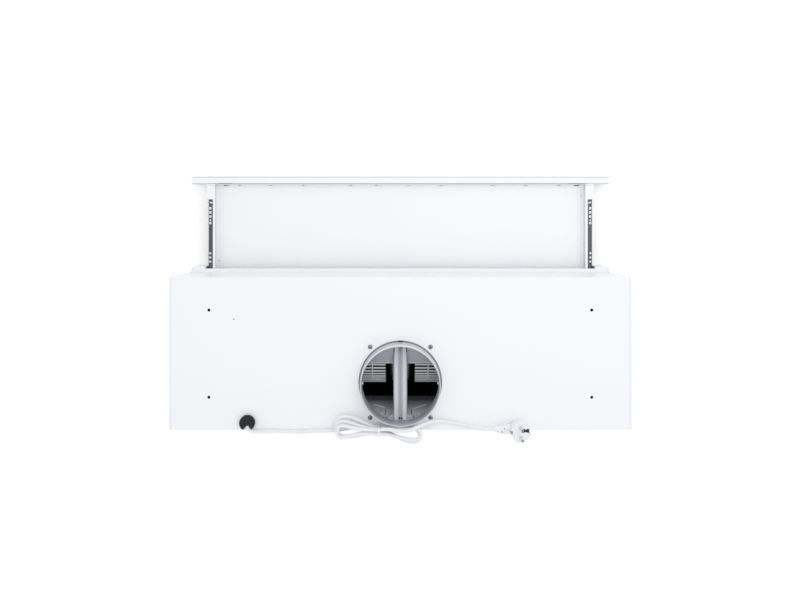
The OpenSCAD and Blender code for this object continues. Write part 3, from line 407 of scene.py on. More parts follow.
def gland_rubber():
    """The cable gland: a moulded face with a darker rim."""
    colour = tuple(bpy.context.scene.hood_plastic.gland)
    rubber = Finish("gland_rubber", colour, 0.5, 0.0, Specular_IOR_Level=0.3)
    x, y, _ = rubber.axes()
    across, along = x - GLAND[0] * MM, y - GLAND[1] * MM
    radius = (across * across + along * along) ** 0.5
    grain = rubber.noise(600, 2)
    rim = ((radius - GLAND_RIM_R) * 1500).clamp()
    rubber.paint(rubber.tint((rim * 0.7 + grain * 0.2).clamp(), colour, dim(colour, 0.3)))
    rubber.rough(grain * 0.2 + 0.4)
    rubber.bump(grain, 0.00006, 0.5)
    return rubber.material


def screw_chrome():
    """The collar's chromed screws: painted shade as a dark rim round each head and in its cross
    recess.
    """
    colour = tuple(bpy.context.scene.hood_metal.chrome)
    chrome = Finish("screw_chrome", colour, 0.18, 0.9)
    x, y, z = chrome.axes()
    across = x.abs() - COLLAR_SCREW_X
    along = (y - DUCT_Y).abs() - COLLAR_SCREW_Y
    radius = (across * across + along * along) ** 0.5
    # painted shade: a dark rim round each head and a dark cross recess
    rim = ((radius - SCREW_RIM_R) * 1800).clamp()
    cross_recess_shade = ((SCREW_CROSS_Z - z) * 3000).clamp() * ((SCREW_CROSS_R - radius) * 2500).clamp()
    chrome.paint(chrome.tint((rim + cross_recess_shade).clamp(), colour, shade(34, 35, 42)))
    chrome.rough(chrome.noise(500, 2) * 0.2 + 0.1)
    return chrome.material


def moulded(name, colour, roughness=0.5, grain=620.0, depth=0.00005, spread=0.1):
    """Moulded plastic: a fine spark-eroded grain and slow changes of tone."""
    plastic = Finish(name, colour, roughness, 0.0, Specular_IOR_Level=0.45)
    slow = plastic.noise(16, 3)
    fine = plastic.noise(grain, 2)
    plastic.paint(plastic.tint(slow, dim(colour, 1 - spread), dim(colour, 1 + spread * 0.25)))
    plastic.rough(fine * 0.16 + slow * 0.06 + (roughness - 0.11))
    plastic.bump(fine, depth, 0.5)
    return plastic.material


def deep_moulding(name, colour, shadow, middle, high, roughness=0.5, front=None):
    """A moulding in the blower, painted darker with depth as shade, from a high level down to a
    black shadow.

    front is a painted shade for its walls in front of the tongue's edge, in place of the depth
    shade, and that edge gets a painted highlight."""
    plastic = Finish(name, colour, roughness, 0.0, Specular_IOR_Level=0.35)
    _, y, z = plastic.axes()
    slow = plastic.noise(16, 3)
    fine = plastic.noise(620, 2)
    patchy_noise = plastic.noise(60, 4, (1, 1, 0.2))
    # painted shade: darker with depth, black below the shadow level
    lower = ((z - shadow) / 0.008).clamp() * 0.26
    level = lower + ((z - middle) / (high - middle)).clamp() * 0.74
    unshaded_tone = plastic.tint(slow, dim(colour, 0.93), dim(colour, 1.04))
    depth_shaded = plastic.tint((level * (patchy_noise * 0.3 + 0.85)).clamp(), shade(3, 4, 8), unshaded_tone)
    if front:
        depth_shaded = plastic.tint(((TONGUE_Y - y) * 400).clamp(), depth_shaded, front)
        # painted highlight along the tongue's edge
        edge_highlight = band(y, TONGUE_EDGE_Y, 0.0008).clamp() * (z > TONGUE_EDGE_Z)
        depth_shaded = plastic.tint(edge_highlight, depth_shaded, shade(232, 233, 238))
    plastic.paint(depth_shaded)
    plastic.rough(fine * 0.16 + slow * 0.06 + (roughness - 0.11))
    plastic.bump(fine, 0.00005, 0.5)
    return plastic.material


def impeller_moulding():
    """The squirrel cages: pale outer edges and rings, and blades painted black inside as shade.
    """
    colour = tuple(bpy.context.scene.hood_plastic.impeller)
    plastic = Finish("impeller_moulding", colour, 0.4, 0.0, Specular_IOR_Level=0.35)
    x, y, z = plastic.axes()
    along, up = y - FAN_Y, z - FAN_Z
    radius = (along * along + up * up) ** 0.5
    fine = plastic.noise(500, 2)
    # painted shade: only the outer edge of each cage keeps its colour, and the rest is painted
    # black
    edge = ((radius - CAGE_EDGE_R) / 0.0006).clamp() * (x.abs() > CAGE_INNER_X)
    wear_and_shade = (edge * (fine * 0.3 + 0.85)).clamp()
    plastic.paint(plastic.tint(wear_and_shade, shade(4, 5, 9), colour))
    plastic.rough(fine * 0.16 + 0.32)
    plastic.bump(fine, 0.00005, 0.5)
    return plastic.material


def ridge_moulding():
    """The motor cover's ridge: pale lobes, a shaded channel between them, painted shade on the
    sides below.
    """
    colour = tuple(bpy.context.scene.hood_plastic.ridge)
    plastic = Finish("ridge_moulding", colour, 0.42, 0.0, Specular_IOR_Level=0.45)
    x, y, z = plastic.axes()
    side = x.abs()
    fine = plastic.noise(620, 2)
    streak = plastic.noise(150, 3, (1, 0.05, 1))
    channel = (1 - side / RIDGE_HOLLOW_X).clamp() ** 0.6
    edge = band(side, RIDGE_EDGE_X, 0.0008, 0.0006).clamp()
    front = ((RIDGE_FRONT_Y - y) * 45).clamp()
    shadow = channel * 0.62 + edge * 0.3 + front * (channel * 0.35 + 0.15) + (streak - 0.5) * 0.2
    pale = plastic.tint(shadow.clamp(), colour, shade(105, 107, 118))
    # painted shade: the sides darken to black below the shoulder, except near the back end
    low = ((RIDGE_SHOULDER_Z - z) / 0.03).clamp() ** 0.7
    depth = low * ((RIDGE_BACK_Y - y) / 0.012).clamp()
    plastic.paint(plastic.tint(depth, pale, shade(9, 10, 15)))
    plastic.rough(fine * 0.16 + 0.34)
    plastic.bump(fine, 0.00005, 0.5)
    return plastic.material


def collar_moulding():
    """The duct collar: a painted shadow at its foot, a painted highlight on its rim, a shaded
    bore, pale studs.
    """
    colour = tuple(bpy.context.scene.hood_plastic.collar)
    plastic = Finish("collar_moulding", colour, 0.42, 0.0, Specular_IOR_Level=0.45)
    x, y, z = plastic.axes()
    radius = (x * x + (y - DUCT_Y) ** 2.0) ** 0.5
    slow = plastic.noise(16, 3)
    fine = plastic.noise(620, 2)
    # painted shadow where the foot meets the top plate
    foot_shadow = ((COLLAR_FOOT_Z - z) * 2500).clamp() * ((radius - COLLAR_FOOT_R) * 2500).clamp()
    # painted highlight round the top of the rim
    edge_highlight = band(radius, COLLAR_RIM_R, 0.0002, 0.0003).clamp() * (z > COLLAR_RIM_Z)
    tone = plastic.tint(slow, dim(colour, 0.93), dim(colour, 1.03))
    tone = plastic.tint(foot_shadow * 0.8, tone, shade(92, 93, 101))
    inside = ((COLLAR_BORE_R - radius) * 4000).clamp() * ((COLLAR_BORE_Z - z) / 0.02).clamp()
    tone = plastic.tint(inside * 0.6, tone, shade(120, 121, 130))
    middle = (y - DUCT_Y).abs() < COLLAR_STUD_HALF
    stud = ((COLLAR_STUD_R - radius) * 4000).clamp() * middle
    plastic.paint(plastic.tint((edge_highlight + stud).clamp(), tone, shade(250, 251, 253)))
    plastic.rough(fine * 0.16 + slow * 0.06 + 0.31)
    plastic.bump(fine, 0.00005, 0.5)
    return plastic.material


def filter_foil():
    """Aluminium mesh of the grease filters: fine diamonds with painted shade in the gaps between
    the strands.
    """
    colour = tuple(bpy.context.scene.hood_metal.aluminium)
    foil = Finish("filter_foil", colour, 0.34, 0.85)
    x, y, _ = foil.axes()
    turns = 2 * math.pi / FOIL_PITCH
    weave = (x * turns).sine() * (y * turns * 1.6).sine()
    strand = (weave * 0.5 + 0.5).clamp()
    crumple = foil.noise(240, 3)
    # painted shade in the gaps between the strands
    foil.paint(foil.tint(strand, dim(colour, 0.42), colour))
    foil.rough(crumple * 0.25 + 0.22)
    foil.bump(strand * 0.8 + crumple * 0.3, 0.0006, 0.8)
    return foil.material


def rolled_aluminium():
    colour = tuple(bpy.context.scene.hood_metal.aluminium)
    sheet = Finish("rolled_aluminium", colour, 0.3, 0.9)
    rolled = sheet.noise(220, 3, (0.03, 1, 1))
    sheet.paint(sheet.tint(rolled, dim(colour, 0.85), colour))
    sheet.rough(rolled * 0.2 + 0.22)
    sheet.bump(rolled, 0.00006, 0.4)
    return sheet.material


def lead_sheath():
    """Soft vinyl: a satin skin with faint scuffs along it."""
    colour = tuple(bpy.context.scene.hood_lead.colour)
    vinyl = Finish("lead_vinyl", colour, 0.42, 0.0, Subsurface_Weight=0.06)
    vinyl.feed(vinyl.surface.inputs["Subsurface Radius"], (0.004, 0.004, 0.004))
    scuff = vinyl.noise(95, 4)
    grain = vinyl.noise(900, 2)
    vinyl.paint(vinyl.tint((scuff * 1.4 - 0.3).clamp(), dim(colour, 0.93), colour))
    vinyl.rough(scuff * 0.16 + 0.32)
    vinyl.bump(grain * 0.5 + scuff * 0.5, 0.00006, 0.5)
    return vinyl.material


def frosted_glass():
    glass = Finish("frosted_glass", shade(236, 240, 243), 0.45, 0.0,
                   IOR=1.45, Transmission_Weight=0.35)
    frost = glass.noise(800, 2)
    glass.rough(frost * 0.3 + 0.3)
    glass.bump(frost, 0.00004, 0.5)
    return glass.material


def finish_nodes(material, *nodes):
    for node in nodes:
        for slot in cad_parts[node].material_slots:
            slot.material = material


# Small helpers for new pieces

def clear_selection():
    if bpy.context.mode != "OBJECT":
        bpy.ops.object.mode_set(mode="OBJECT")
    bpy.ops.object.select_all(action="DESELECT")


def keep(piece, name, body, material):
    """Names a finished piece, puts its place into its mesh, and hangs it on a body."""
    clear_selection()
    piece.select_set(True)
    bpy.context.view_layer.objects.active = piece
    bpy.ops.object.transform_apply(location=True, rotation=True, scale=True)
    piece.name = name
    piece.data.name = name
    piece.data.materials.clear()
    piece.data.materials.append(material)
    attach(piece, body)
    return piece


def selected_join(pieces):
    clear_selection()
    for piece in pieces:
        piece.select_set(True)
    bpy.context.view_layer.objects.active = pieces[0]
    if len(pieces) > 1:
        bpy.ops.object.join()
    return pieces[0]


def select_faces(piece, test):
    """In edit mode, selects the faces whose middle and normal pass a test."""
    bpy.ops.mesh.select_mode(type="FACE")
    bpy.ops.mesh.select_all(action="DESELECT")
    mesh = bmesh.from_edit_mesh(piece.data)
    for face in mesh.faces:
        face.select = bool(test(face.calc_center_median(), face.normal))
    mesh.select_flush_mode()
    bmesh.update_edit_mesh(piece.data)


def bead(points, radius):
    """A round bead along points in millimetres: one vertex is extruded from point to point."""
    places = [Vector(p) * MM for p in points]
    clear_selection()
    bpy.ops.mesh.primitive_plane_add(size=0.001, location=places[0])
    bpy.ops.object.mode_set(mode="EDIT")
    bpy.ops.mesh.select_mode(type="VERT")
    bpy.ops.mesh.select_all(action="SELECT")
    bpy.ops.mesh.merge(type="CENTER")
    for start, end in zip(places, places[1:]):
        bpy.ops.mesh.extrude_vertices_move(TRANSFORM_OT_translate={"value": tuple(end - start)})
    bpy.ops.object.mode_set(mode="OBJECT")
    bpy.ops.object.convert(target="CURVE")
    curve = bpy.context.object.data
    curve.bevel_depth = radius
    curve.bevel_resolution = 2
    curve.use_fill_caps = True
    bpy.ops.object.convert(target="MESH")
    bpy.ops.object.shade_smooth_by_angle(angle=math.radians(40))
    return bpy.context.object


# The parts of a small head: rim, land and step as shares of its radius, dome of its height
HEAD_RIM = 0.18
HEAD_LAND = 0.37
HEAD_STEP = 0.08
HEAD_DOME = 0.25


def head(place, radius, height, hollow=0.5):
    """A small round head that faces up, with a rounded rim and a hollow in its middle."""
    clear_selection()
    bpy.ops.mesh.primitive_cylinder_add(
        vertices=24, radius=radius, depth=height, location=Vector(place) * MM)
    piece = bpy.context.object
    bpy.ops.object.mode_set(mode="EDIT")
    select_faces(piece, lambda middle, normal: normal.z > 0.9)
    bpy.ops.mesh.inset(thickness=radius * HEAD_RIM)
    bpy.ops.transform.translate(value=(0, 0, height * HEAD_DOME))
    bpy.ops.mesh.inset(thickness=radius * HEAD_LAND)
    bpy.ops.mesh.inset(thickness=radius * HEAD_STEP)
    bpy.ops.transform.translate(value=(0, 0, -height * hollow))
    bpy.ops.object.mode_set(mode="OBJECT")
    bpy.ops.object.shade_smooth_by_angle(angle=math.radians(35))
    return piece


# Stage

# The photograph's frame, focal length and vanishing point, in pixels
PHOTO = (800, 600)
FOCAL = 659
VANISHING = (400.3, 222.6)

# The stage: the camera's sensor in millimetres, and the rest in metres
SENSOR = 36
EYE = (0, -0.1515, 1.457)
LAMP_PLACE = (-0.7, -1.1, 2.3)
LAMP_AIM = (0.7, 1.1, -2.2)
LAMP_SIZE = 2.2
FLOOR_SIZE = 9
FLOOR_Z = -0.0008
FLOOR_GLOW = 0.22


class HOOD_OT_stage(bpy.types.Operator):
    """Camera, floor and lamps"""
    bl_idname = "hood.stage"
    bl_label = "Stage"

    def execute(self, context):
        look = context.scene.hood_studio
        scene = context.scene
        scene.view_settings.view_transform = "Standard"

        clear_selection()
        bpy.ops.object.camera_add(location=EYE, rotation=(0, 0, math.pi))
        camera = context.object
        camera.name = "photo_camera"
        camera.data.sensor_width = SENSOR
        camera.data.lens = FOCAL / PHOTO[0] * SENSOR
        camera.data.shift_x = (PHOTO[0] / 2 - VANISHING[0]) / PHOTO[0]
        camera.data.shift_y = -(PHOTO[1] / 2 - VANISHING[1]) / PHOTO[0]
        camera.data.clip_start = 0.01
        scene.camera = camera

        world = bpy.data.worlds.new("studio_sky")
        scene.world = world
        world.use_nodes = True
        sky = Shader(world.node_tree)
        back = sky.tree.nodes["Background"]
        level = sky.node("MapRange", Value=sky.rays("Camera", "Transmission", "Glossy"),
                         To_Min=look.sky, To_Max=1.0)
        sky.feed(back.inputs["Strength"], level)
        sky.feed(back.inputs["Color"], (1, 1, 1))

        clear_selection()
        bpy.ops.mesh.primitive_plane_add(size=FLOOR_SIZE, location=(0, 0, FLOOR_Z))
        floor = context.object
        floor.name = "floor"
        pale = Finish("floor_white", shade(246, 246, 247), 0.9)
        plain = Link(pale, pale.surface.outputs[0])
        glow = pale.node("Emission", Strength=FLOOR_GLOW)
        lifted = pale.node("AddShader", numbered={0: plain, 1: glow})
        seen = pale.node("MixShader",
                         numbered={0: pale.rays("Camera", "Glossy"), 1: plain, 2: lifted})
        pale.feed(pale.tree.nodes["Material Output"].inputs["Surface"], seen)
        floor.data.materials.append(pale.material)

        clear_selection()
        bpy.ops.object.light_add(type="AREA", location=LAMP_PLACE)
        lamp = context.object
        lamp.name = "soft_panel"
        lamp.data.size = LAMP_SIZE
        lamp.data.energy = look.panel_power
        lamp.rotation_euler = Vector(LAMP_AIM).to_track_quat("-Z", "Y").to_euler()
        return {"FINISHED"}


# Lead

# The route is in millimetres. Its tables give X, the distance behind the back wall and, where it
# isn't the plain level, Z. X counts from the gland in the first table.
BACK = 250.5
LEAD_Z = 183.8
GLAND = (295.8, BACK - 15.1)
LEAD_TURN = math.radians(97)
LEAD_START = 5

# The hank: two lobes that cross at its waist, wound in turns that climb from a lowest level
WAIST = (41, BACK - 5.2)
HANK_TURNS = 3
HANK_CLIMB = 8
HANK_Z = LEAD_Z + 1.2
HANK_HALF = (86, 80)
HANK_NECK = 4
HANK_LIFT = 2.2
HANK_STEPS = 64
HANK_LEAVE = (-8, -1.6, 1)
BOW_SWING = -3
END_SWING = -1
FAN_OUT = 2
BOW_SWELL = 41
BOW_SHRINK = 0.08
BOW_DRAW = 0.03
BOW_SKEW = 3
END_RADIUS = 13.5
END_SHRINK = 1.2
END_SHARE = 0.55

GLAND_BEND = (
    (-1.5, -5.3), (-3.9, -1.7), (-7.5, 0.7), (-11.8, 1.5), (-22, 1.5),
)
RUN = (
    (256, 1.2), (234, 1), (214, 1.8), (198, 2), (182, 1.6), (166, 0.8), (150, 0.4),
)
UNDER = (
    (142, 0.2, LEAD_Z), (120, -1.4, LEAD_Z), (100, -4.5, LEAD_Z), (80, -8, LEAD_Z),
    (62, -10, LEAD_Z + 0.4),
)
TAIL = (
    (20, -11.2, 212.5), (6, -9.3, 214), (-14, -9.4, 214), (-34, -14.8, 208),
    (-54, -19.3, 194), (-72, -19.2, 186), (-92, -17.2, LEAD_Z), (-110, -14, LEAD_Z),
    (-126, -10.8, 184.6), (-142, -7.6, 187), (-156, -6, 189.6), (-170, -5.5, 191),
    (-179, -5.5, 191),
)


def ease(x):
    x = min(1, max(0, x))
    return x * x * (3 - 2 * x)


def bow_lobe(turn, climb):
    """The lobe on the gland's side, which swells like a bow, in the hank's own plane."""
    c, s = math.cos(math.radians(turn)), math.sin(math.radians(turn))
    bulge = BOW_SWELL * (1 - BOW_SHRINK * climb)
    pinch = 1.3 + 1.1 * max(0, climb - 0.75)
    x = HANK_HALF[0] * c * (1 - BOW_DRAW * climb * c)
    return x, -s * (HANK_NECK + bulge * c ** pinch) - BOW_SKEW * c * s * s


def round_lobe(turn, climb):
    """The other lobe: straight on the side of the duct, with a round end."""
    radius = END_RADIUS - END_SHRINK * climb
    u = (turn % 360 - 180) / 90
    if abs(u) < END_SHARE:
        arc = math.radians(90 * u / END_SHARE)
        x = radius - HANK_HALF[1] - radius * math.cos(arc)
        return x, radius - HANK_NECK + radius * math.sin(arc)
    k = (1 - abs(u)) / (1 - END_SHARE)
    y = -HANK_NECK if u < 0 else HANK_NECK + 2 * (radius - HANK_NECK) * ease(k)
    return (radius - HANK_HALF[1]) * k, y


def hank_point(turn):
    """A point of the hank's loops, at an angle in degrees, which grows from turn to turn."""
    climb = (turn - 90) / 360
    c = math.cos(math.radians(turn))
    bowed = c > 1e-9
    x, y = bow_lobe(turn, climb) if bowed else round_lobe(turn, climb)
    fan = (BOW_SWING if bowed else END_SWING) + FAN_OUT * (climb - HANK_TURNS / 2)
    swing = math.radians(fan * ease(2 * abs(c)))
    return Vector((
        WAIST[0] + x * math.cos(swing) - y * math.sin(swing),
        WAIST[1] + x * math.sin(swing) + y * math.cos(swing),
        HANK_Z + HANK_CLIMB * climb + HANK_LIFT * ease(2 * c),
    ))


def smooth(points, steps):
    """A smooth path through points, with some steps from each point to the next."""
    points = [Vector(p) for p in points]
    path = []
    for i in range(len(points) - 1):
        a, b, c = points[max(0, i - 1)], points[i], points[i + 1]
        d = points[min(len(points) - 1, i + 2)]
        m, n = (c - a) / 2, (d - b) / 2
        for k in range(steps):
            s = k / steps
            path.append((2 * s**3 - 3 * s * s + 1) * b + (s**3 - 2 * s * s + s) * m
                        + (3 * s * s - 2 * s**3) * c + (s**3 - s * s) * n)
    return path + [points[-1]]


def lead_route():
    """The whole lead, from the gland to the plug, in millimetres."""
    out = Vector((math.cos(LEAD_TURN), math.sin(LEAD_TURN), 0))
    start = Vector((*GLAND, LEAD_Z)) + LEAD_START * out
    bend = [(GLAND[0] + x, BACK + y, LEAD_Z) for x, y in GLAND_BEND]
    run = smooth([start, *bend, *((x, BACK + y, LEAD_Z) for x, y in RUN)], 4)
    under = smooth([*((x, BACK + y, z) for x, y, z in UNDER), hank_point(90)], 5)
    loops = [hank_point(90 + 360 * i / HANK_STEPS) for i in range(1, HANK_TURNS * HANK_STEPS + 1)]
    off = hank_point(90 + 360 * HANK_TURNS) + Vector(HANK_LEAVE)
    tail = smooth([off, *((x, BACK + y, z) for x, y, z in TAIL)], 4)
    return run + under + loops + tail


class HOOD_OT_lead(bpy.types.Operator):
    """The mains lead, from the gland through its hank to the plug"""
    bl_idname = "hood.lead"
    bl_label = "Mains lead"

    def execute(self, context):
        look = context.scene.hood_lead
        route = [p * MM for p in lead_route()]
        curve = bpy.data.curves.new("mains_cord", "CURVE")
        curve.dimensions = "3D"
        curve.bevel_depth = look.diameter / 2
        curve.bevel_resolution = 6
        curve.use_fill_caps = True
        spline = curve.splines.new("POLY")
        spline.points.add(len(route) - 1)
        for point, place in zip(spline.points, route):
            point.co = (*place, 1)
        spline.use_smooth = True
        piece = bpy.data.objects.new("mains_cord", curve)
        context.scene.collection.objects.link(piece)
        curve.materials.append(lead_sheath())
        length = sum((b - a).length for a, b in zip(route, route[1:]))
        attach(piece, "casing")
        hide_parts("mains_lead", "lead_hank", "plug_tail")
        return {"FINISHED"}


# Finishes

class HOOD_OT_paintwork(bpy.types.Operator):
    """White powder coat on the casing and the drawer"""
    bl_idname = "hood.paintwork"
    bl_label = "Paintwork"

    def execute(self, context):
        finish_nodes(powder_coat("casing_coat", casing_lines), "casing_wrap", "front_trim")
        finish_nodes(powder_coat("panel_coat", panel_lines), "drawer_panel")
        finish_nodes(powder_coat("strip_coat", strip_lines), "drawer_strip", "strip_end_caps")
        finish_nodes(powder_coat(), "side_panel_left", "side_panel_right", "bottom_frame",
                     "drawer_bracket_left", "drawer_bracket_right")
        return {"FINISHED"}


# Places of the small pieces, in millimetres in the shared frame
RIVET = (405.4, -194.0, 40.75)
PAD_X = 408.8
PAD_Z = 38.9
PADS_Y = (-85.6, -76.6, -67.6)
RIBS = (
    ((-53.5, 216.2, 121.8), (-44, 217.6, 127), (-34, 219.8, 133), (-25.2, 221.6, 138.1)),
    ((-25.2, 221.6, 138.1), (-24.9, 226.8, 153.9)),
    ((54.3, 216.2, 121.8), (42, 218.2, 128), (30.1, 220.3, 134.1)),
    ((26.4, 221.6, 138.1), (26.0, 228.0, 157.7)),
)
# Dark beads: grooves in the outlet, and painted shadows beside the ribs and along the ridge
GROOVE_AND_SHADOW_LINES = (
    ((-55.3, 204.4, 75.6), (-54.7, 210.0, 90.9), (-54.2, 213.4, 108), (-53.5, 216.2, 121.8)),
    ((55.6, 209.7, 89.7), (54.8, 213.2, 107), (54.3, 216.2, 121.8)),
    ((-22.9, 221.6, 138.1), (-22.6, 227.4, 155.9)),
    ((28.8, 221.6, 138.1), (28.4, 227.6, 156.7)),
    ((11.9, 84.5, 176.4), (12.1, 93, 172.6), (12.3, 101.5, 168.6)),
    ((-11.9, 84.5, 176.4), (-12.1, 93, 172.6), (-12.3, 101.5, 168.6)),
)
TICKS = (
    ((-36.0, 225.6, 151.2), (-38.4, 227.4, 156.8)),
    ((36.0, 225.6, 151.2), (38.4, 227.4, 156.8)),
)
PIN_HOLES = ((27.0, 230.2, 165.6), (-25.9, 229.9, 164.7))
RIDGE_SCREWS = ((1.9, 229.2, 174.0), (-2.9, 229.2, 174.0))
# a bead painted black as the shade in the notch at the collar's foot
COLLAR_NOTCH_SHADE = ((-4, 78.3, 181.0), (4, 78.3, 181.0))


class HOOD_OT_slides(bpy.types.Operator):
    """Slides, cages and balls, with a rivet and pads on each drawer member"""
    bl_idname = "hood.slides"
    bl_label = "Slides"

    def execute(self, context):
        look = context.scene.hood_metal
        finish_nodes(greased_steel(), "slide_casing_left", "slide_casing_right",
                     "slide_middle_left", "slide_middle_right", "slide_drawer_left",
                     "slide_drawer_right")
        finish_nodes(pressed_steel("pressed_steel", shade(176, 178, 184)),
                     "rail_bracket_left", "rail_bracket_right", "lamp_cans")
        finish_nodes(moulded("cage_plastic", shade(244, 245, 248), roughness=0.4, grain=500,
                             depth=0.00003, spread=0.04),
                     "ball_cages_front", "ball_cages_rear")
        finish_nodes(pressed_steel("screw_steel", shade(226, 227, 231)), "panel_screws")
        finish_nodes(screw_chrome(), "collar_screws")
        finish_nodes(bright_steel(), "balls_front", "balls_rear", "motor_shaft", "lamp_bezels")
        for side, name in ((1, "left"), (-1, "right")):
            rivet = head((side * RIVET[0], RIVET[1], RIVET[2]),
                         radius=look.rivet_radius, height=0.0008, hollow=0.4)
            keep(rivet, "slide_rivet_" + name, "drawer",
                 pressed_steel("rivet_steel_" + name, shade(226, 227, 231), 0.3))
            pads = [head((side * PAD_X, y, PAD_Z), radius=0.0021, height=0.0022, hollow=0.15)
                    for y in PADS_Y]
            keep(selected_join(pads), "slide_pads_" + name, "drawer",
                 moulded("pad_plastic_" + name, shade(252, 252, 254), 0.4))
        return {"FINISHED"}


class HOOD_OT_outlet(bpy.types.Operator):
    """Duct collar, blower mouldings, and the ribs and screws that show through the collar"""
    bl_idname = "hood.outlet"
    bl_label = "Outlet"

    def execute(self, context):
        look = context.scene.hood_plastic
        finish_nodes(collar_moulding(), "duct_collar")
        finish_nodes(deep_moulding("blower_plastic", tuple(look.blower), BLOWER_SHADOW_Z,
                                   middle=0.1, high=0.142, front=shade(180, 181, 190)),
                     "blower_housing", "blower_cheeks")
        finish_nodes(ridge_moulding(), "blower_partition")
        finish_nodes(impeller_moulding(), "impeller_left", "impeller_right")
        finish_nodes(deep_moulding("clamp_steel", shade(130, 132, 142), 0.09,
                                   middle=0.11, high=0.15, roughness=0.4), "motor_clamps")
        finish_nodes(moulded("motor_black", shade(14, 15, 20)), "motor")
        finish_nodes(moulded("capacitor_white", shade(222, 223, 226), 0.45), "capacitor")
        finish_nodes(gland_rubber(), "cable_gland")
        finish_nodes(moulded("gland_black", tuple(look.gland), 0.45),
                     "terminal_box", "switch_box", "filter_latch_left", "filter_latch_right")

        # the ribs are painted paler than the wall they are moulded on, a painted highlight, and
        # darker with depth as painted shade
        ribs = [bead(smooth(points, 4), look.rib) for points in RIBS]
        keep(selected_join(ribs), "outlet_ribs", "casing",
             deep_moulding("rib_highlight_plastic", shade(246, 248, 252), BLOWER_SHADOW_Z,
                           middle=0.09, high=0.12))
        # black beads for the grooves, and for painted shadows beside the ribs and along the ridge
        grooves = [bead(smooth(points, 4), look.rib * 0.75) for points in GROOVE_AND_SHADOW_LINES]
        keep(selected_join(grooves), "outlet_grooves_and_shadows", "casing",
             moulded("groove_and_shadow_black", shade(12, 13, 18)))
        # a black bead painted as the shade in the notch at the collar's foot
        keep(bead(COLLAR_NOTCH_SHADE, 0.0011), "collar_notch_shade", "casing",
             moulded("notch_shade_black", shade(10, 11, 14)))
        ticks = [bead(points, look.rib * 1.3) for points in TICKS]
        keep(selected_join(ticks), "outlet_ticks", "casing",
             moulded("tick_plastic", shade(250, 251, 253), 0.4))
        holes = [head(place, radius=0.0012, height=0.0014) for place in PIN_HOLES]
        keep(selected_join(holes), "outlet_pins", "casing",
             moulded("pin_black", shade(16, 17, 22)))
        screws = [head(place, radius=0.0016, height=0.0016, hollow=0.8) for place in RIDGE_SCREWS]
        keep(selected_join(screws), "ridge_screws", "casing",
             moulded("ridge_screw_black", shade(20, 21, 27), 0.4))
        return {"FINISHED"}


class HOOD_OT_underside(bpy.types.Operator):
    """Grease filters and lamps"""
    bl_idname = "hood.underside"
    bl_label = "Underside"

    def execute(self, context):
        finish_nodes(rolled_aluminium(),
                     "filter_frame_left", "filter_frame_right", "drawer_filter_frame")
        finish_nodes(filter_foil(), "filter_mesh_left", "filter_mesh_right", "drawer_filter_mesh")
        finish_nodes(frosted_glass(), "lamp_lenses")
        return {"FINISHED"}


def button_faces():
    """The buttons' faces: a bright turned rim, a groove inside it with painted shade, and a satin
    middle.
    """
    satin = Finish("button_faces", shade(222, 223, 228), 0.35, 0.35)
    x, _, z = satin.axes()
    across = (((x - BUTTON_X) / BUTTON_PITCH + 0.5).maths("FRACT") - 0.5) * BUTTON_PITCH
    up = z - BUTTON_Z
    radius = (across * across + up * up) ** 0.5
    # painted shade in the groove
    groove = band(radius, BUTTON_GROOVE_R, 0.0002, 0.0002).clamp()
    turned = (radius * 9000).sine() * 0.5 + 0.5
    rim = ((radius - BUTTON_RIM_R) * 3000).clamp()
    grain = satin.noise(700, 2)
    wear_and_shade = (turned * 0.25 + grain * 0.2).clamp()
    tone = satin.tint(wear_and_shade, shade(226, 227, 231), shade(190, 191, 197))
    tone = satin.tint(rim, tone, shade(240, 241, 244))
    satin.paint(satin.tint(groove, tone, shade(70, 71, 78)))
    satin.rough(turned * 0.1 + grain * 0.12 + 0.2)
    satin.bump(turned * 0.15 + grain * 0.2 - groove, 0.0002, 0.6)
    return satin.material


class HOOD_OT_controls(bpy.types.Operator):
    """Push buttons and their bezel"""
    bl_idname = "hood.controls"
    bl_label = "Controls"

    def execute(self, context):
        finish_nodes(moulded("bezel_plastic", shade(166, 168, 176), roughness=0.4, grain=700,
                             depth=0.00003, spread=0.06), "button_bezel")
        finish_nodes(button_faces(), "button_off", "button_low", "button_medium",
                     "button_high", "button_light")
        return {"FINISHED"}


RECESS_PLACE = (-0.236, 0.241, 0.215)
RECESS_SIZE = (0.0136, 0.0044, 0.0008)
RECESS_FLARE = ((0.0028, 1.3), (0.0048, 1.25))
# grey beads painted as the shade in the gaps of the plug's strain relief
RELIEF_GAP_SHADES = (
    ((-186.6, 248.4, 196.1), (-186.6, 250.2, 194.4)),
    ((-194.4, 246.6, 198.6), (-194.4, 249.6, 197.4), (-194.4, 251.6, 195.2)),
    ((-199.2, 243.6, 199.6), (-199.2, 240.6, 198.4)),
)


def nickel():
    """The plug's pins: bright in the middle, dull at their roots and tips."""
    pin = Finish("pin_nickel", shade(226, 226, 228), 0.28, 0.6)
    _, _, z = pin.axes()
    ends = ((PIN_ROOT_Z - z) * 800).clamp() + ((z - PIN_TIP_Z) * 800).clamp()
    brushed = pin.noise(300, 2, (1, 1, 0.1))
    dull = (ends * 0.8 + brushed * 0.15).clamp()
    pin.paint(pin.tint(dull, shade(230, 230, 232), shade(120, 121, 126)))
    pin.rough(brushed * 0.2 + 0.18)
    pin.bump(brushed, 0.00004, 0.4)
    return pin.material


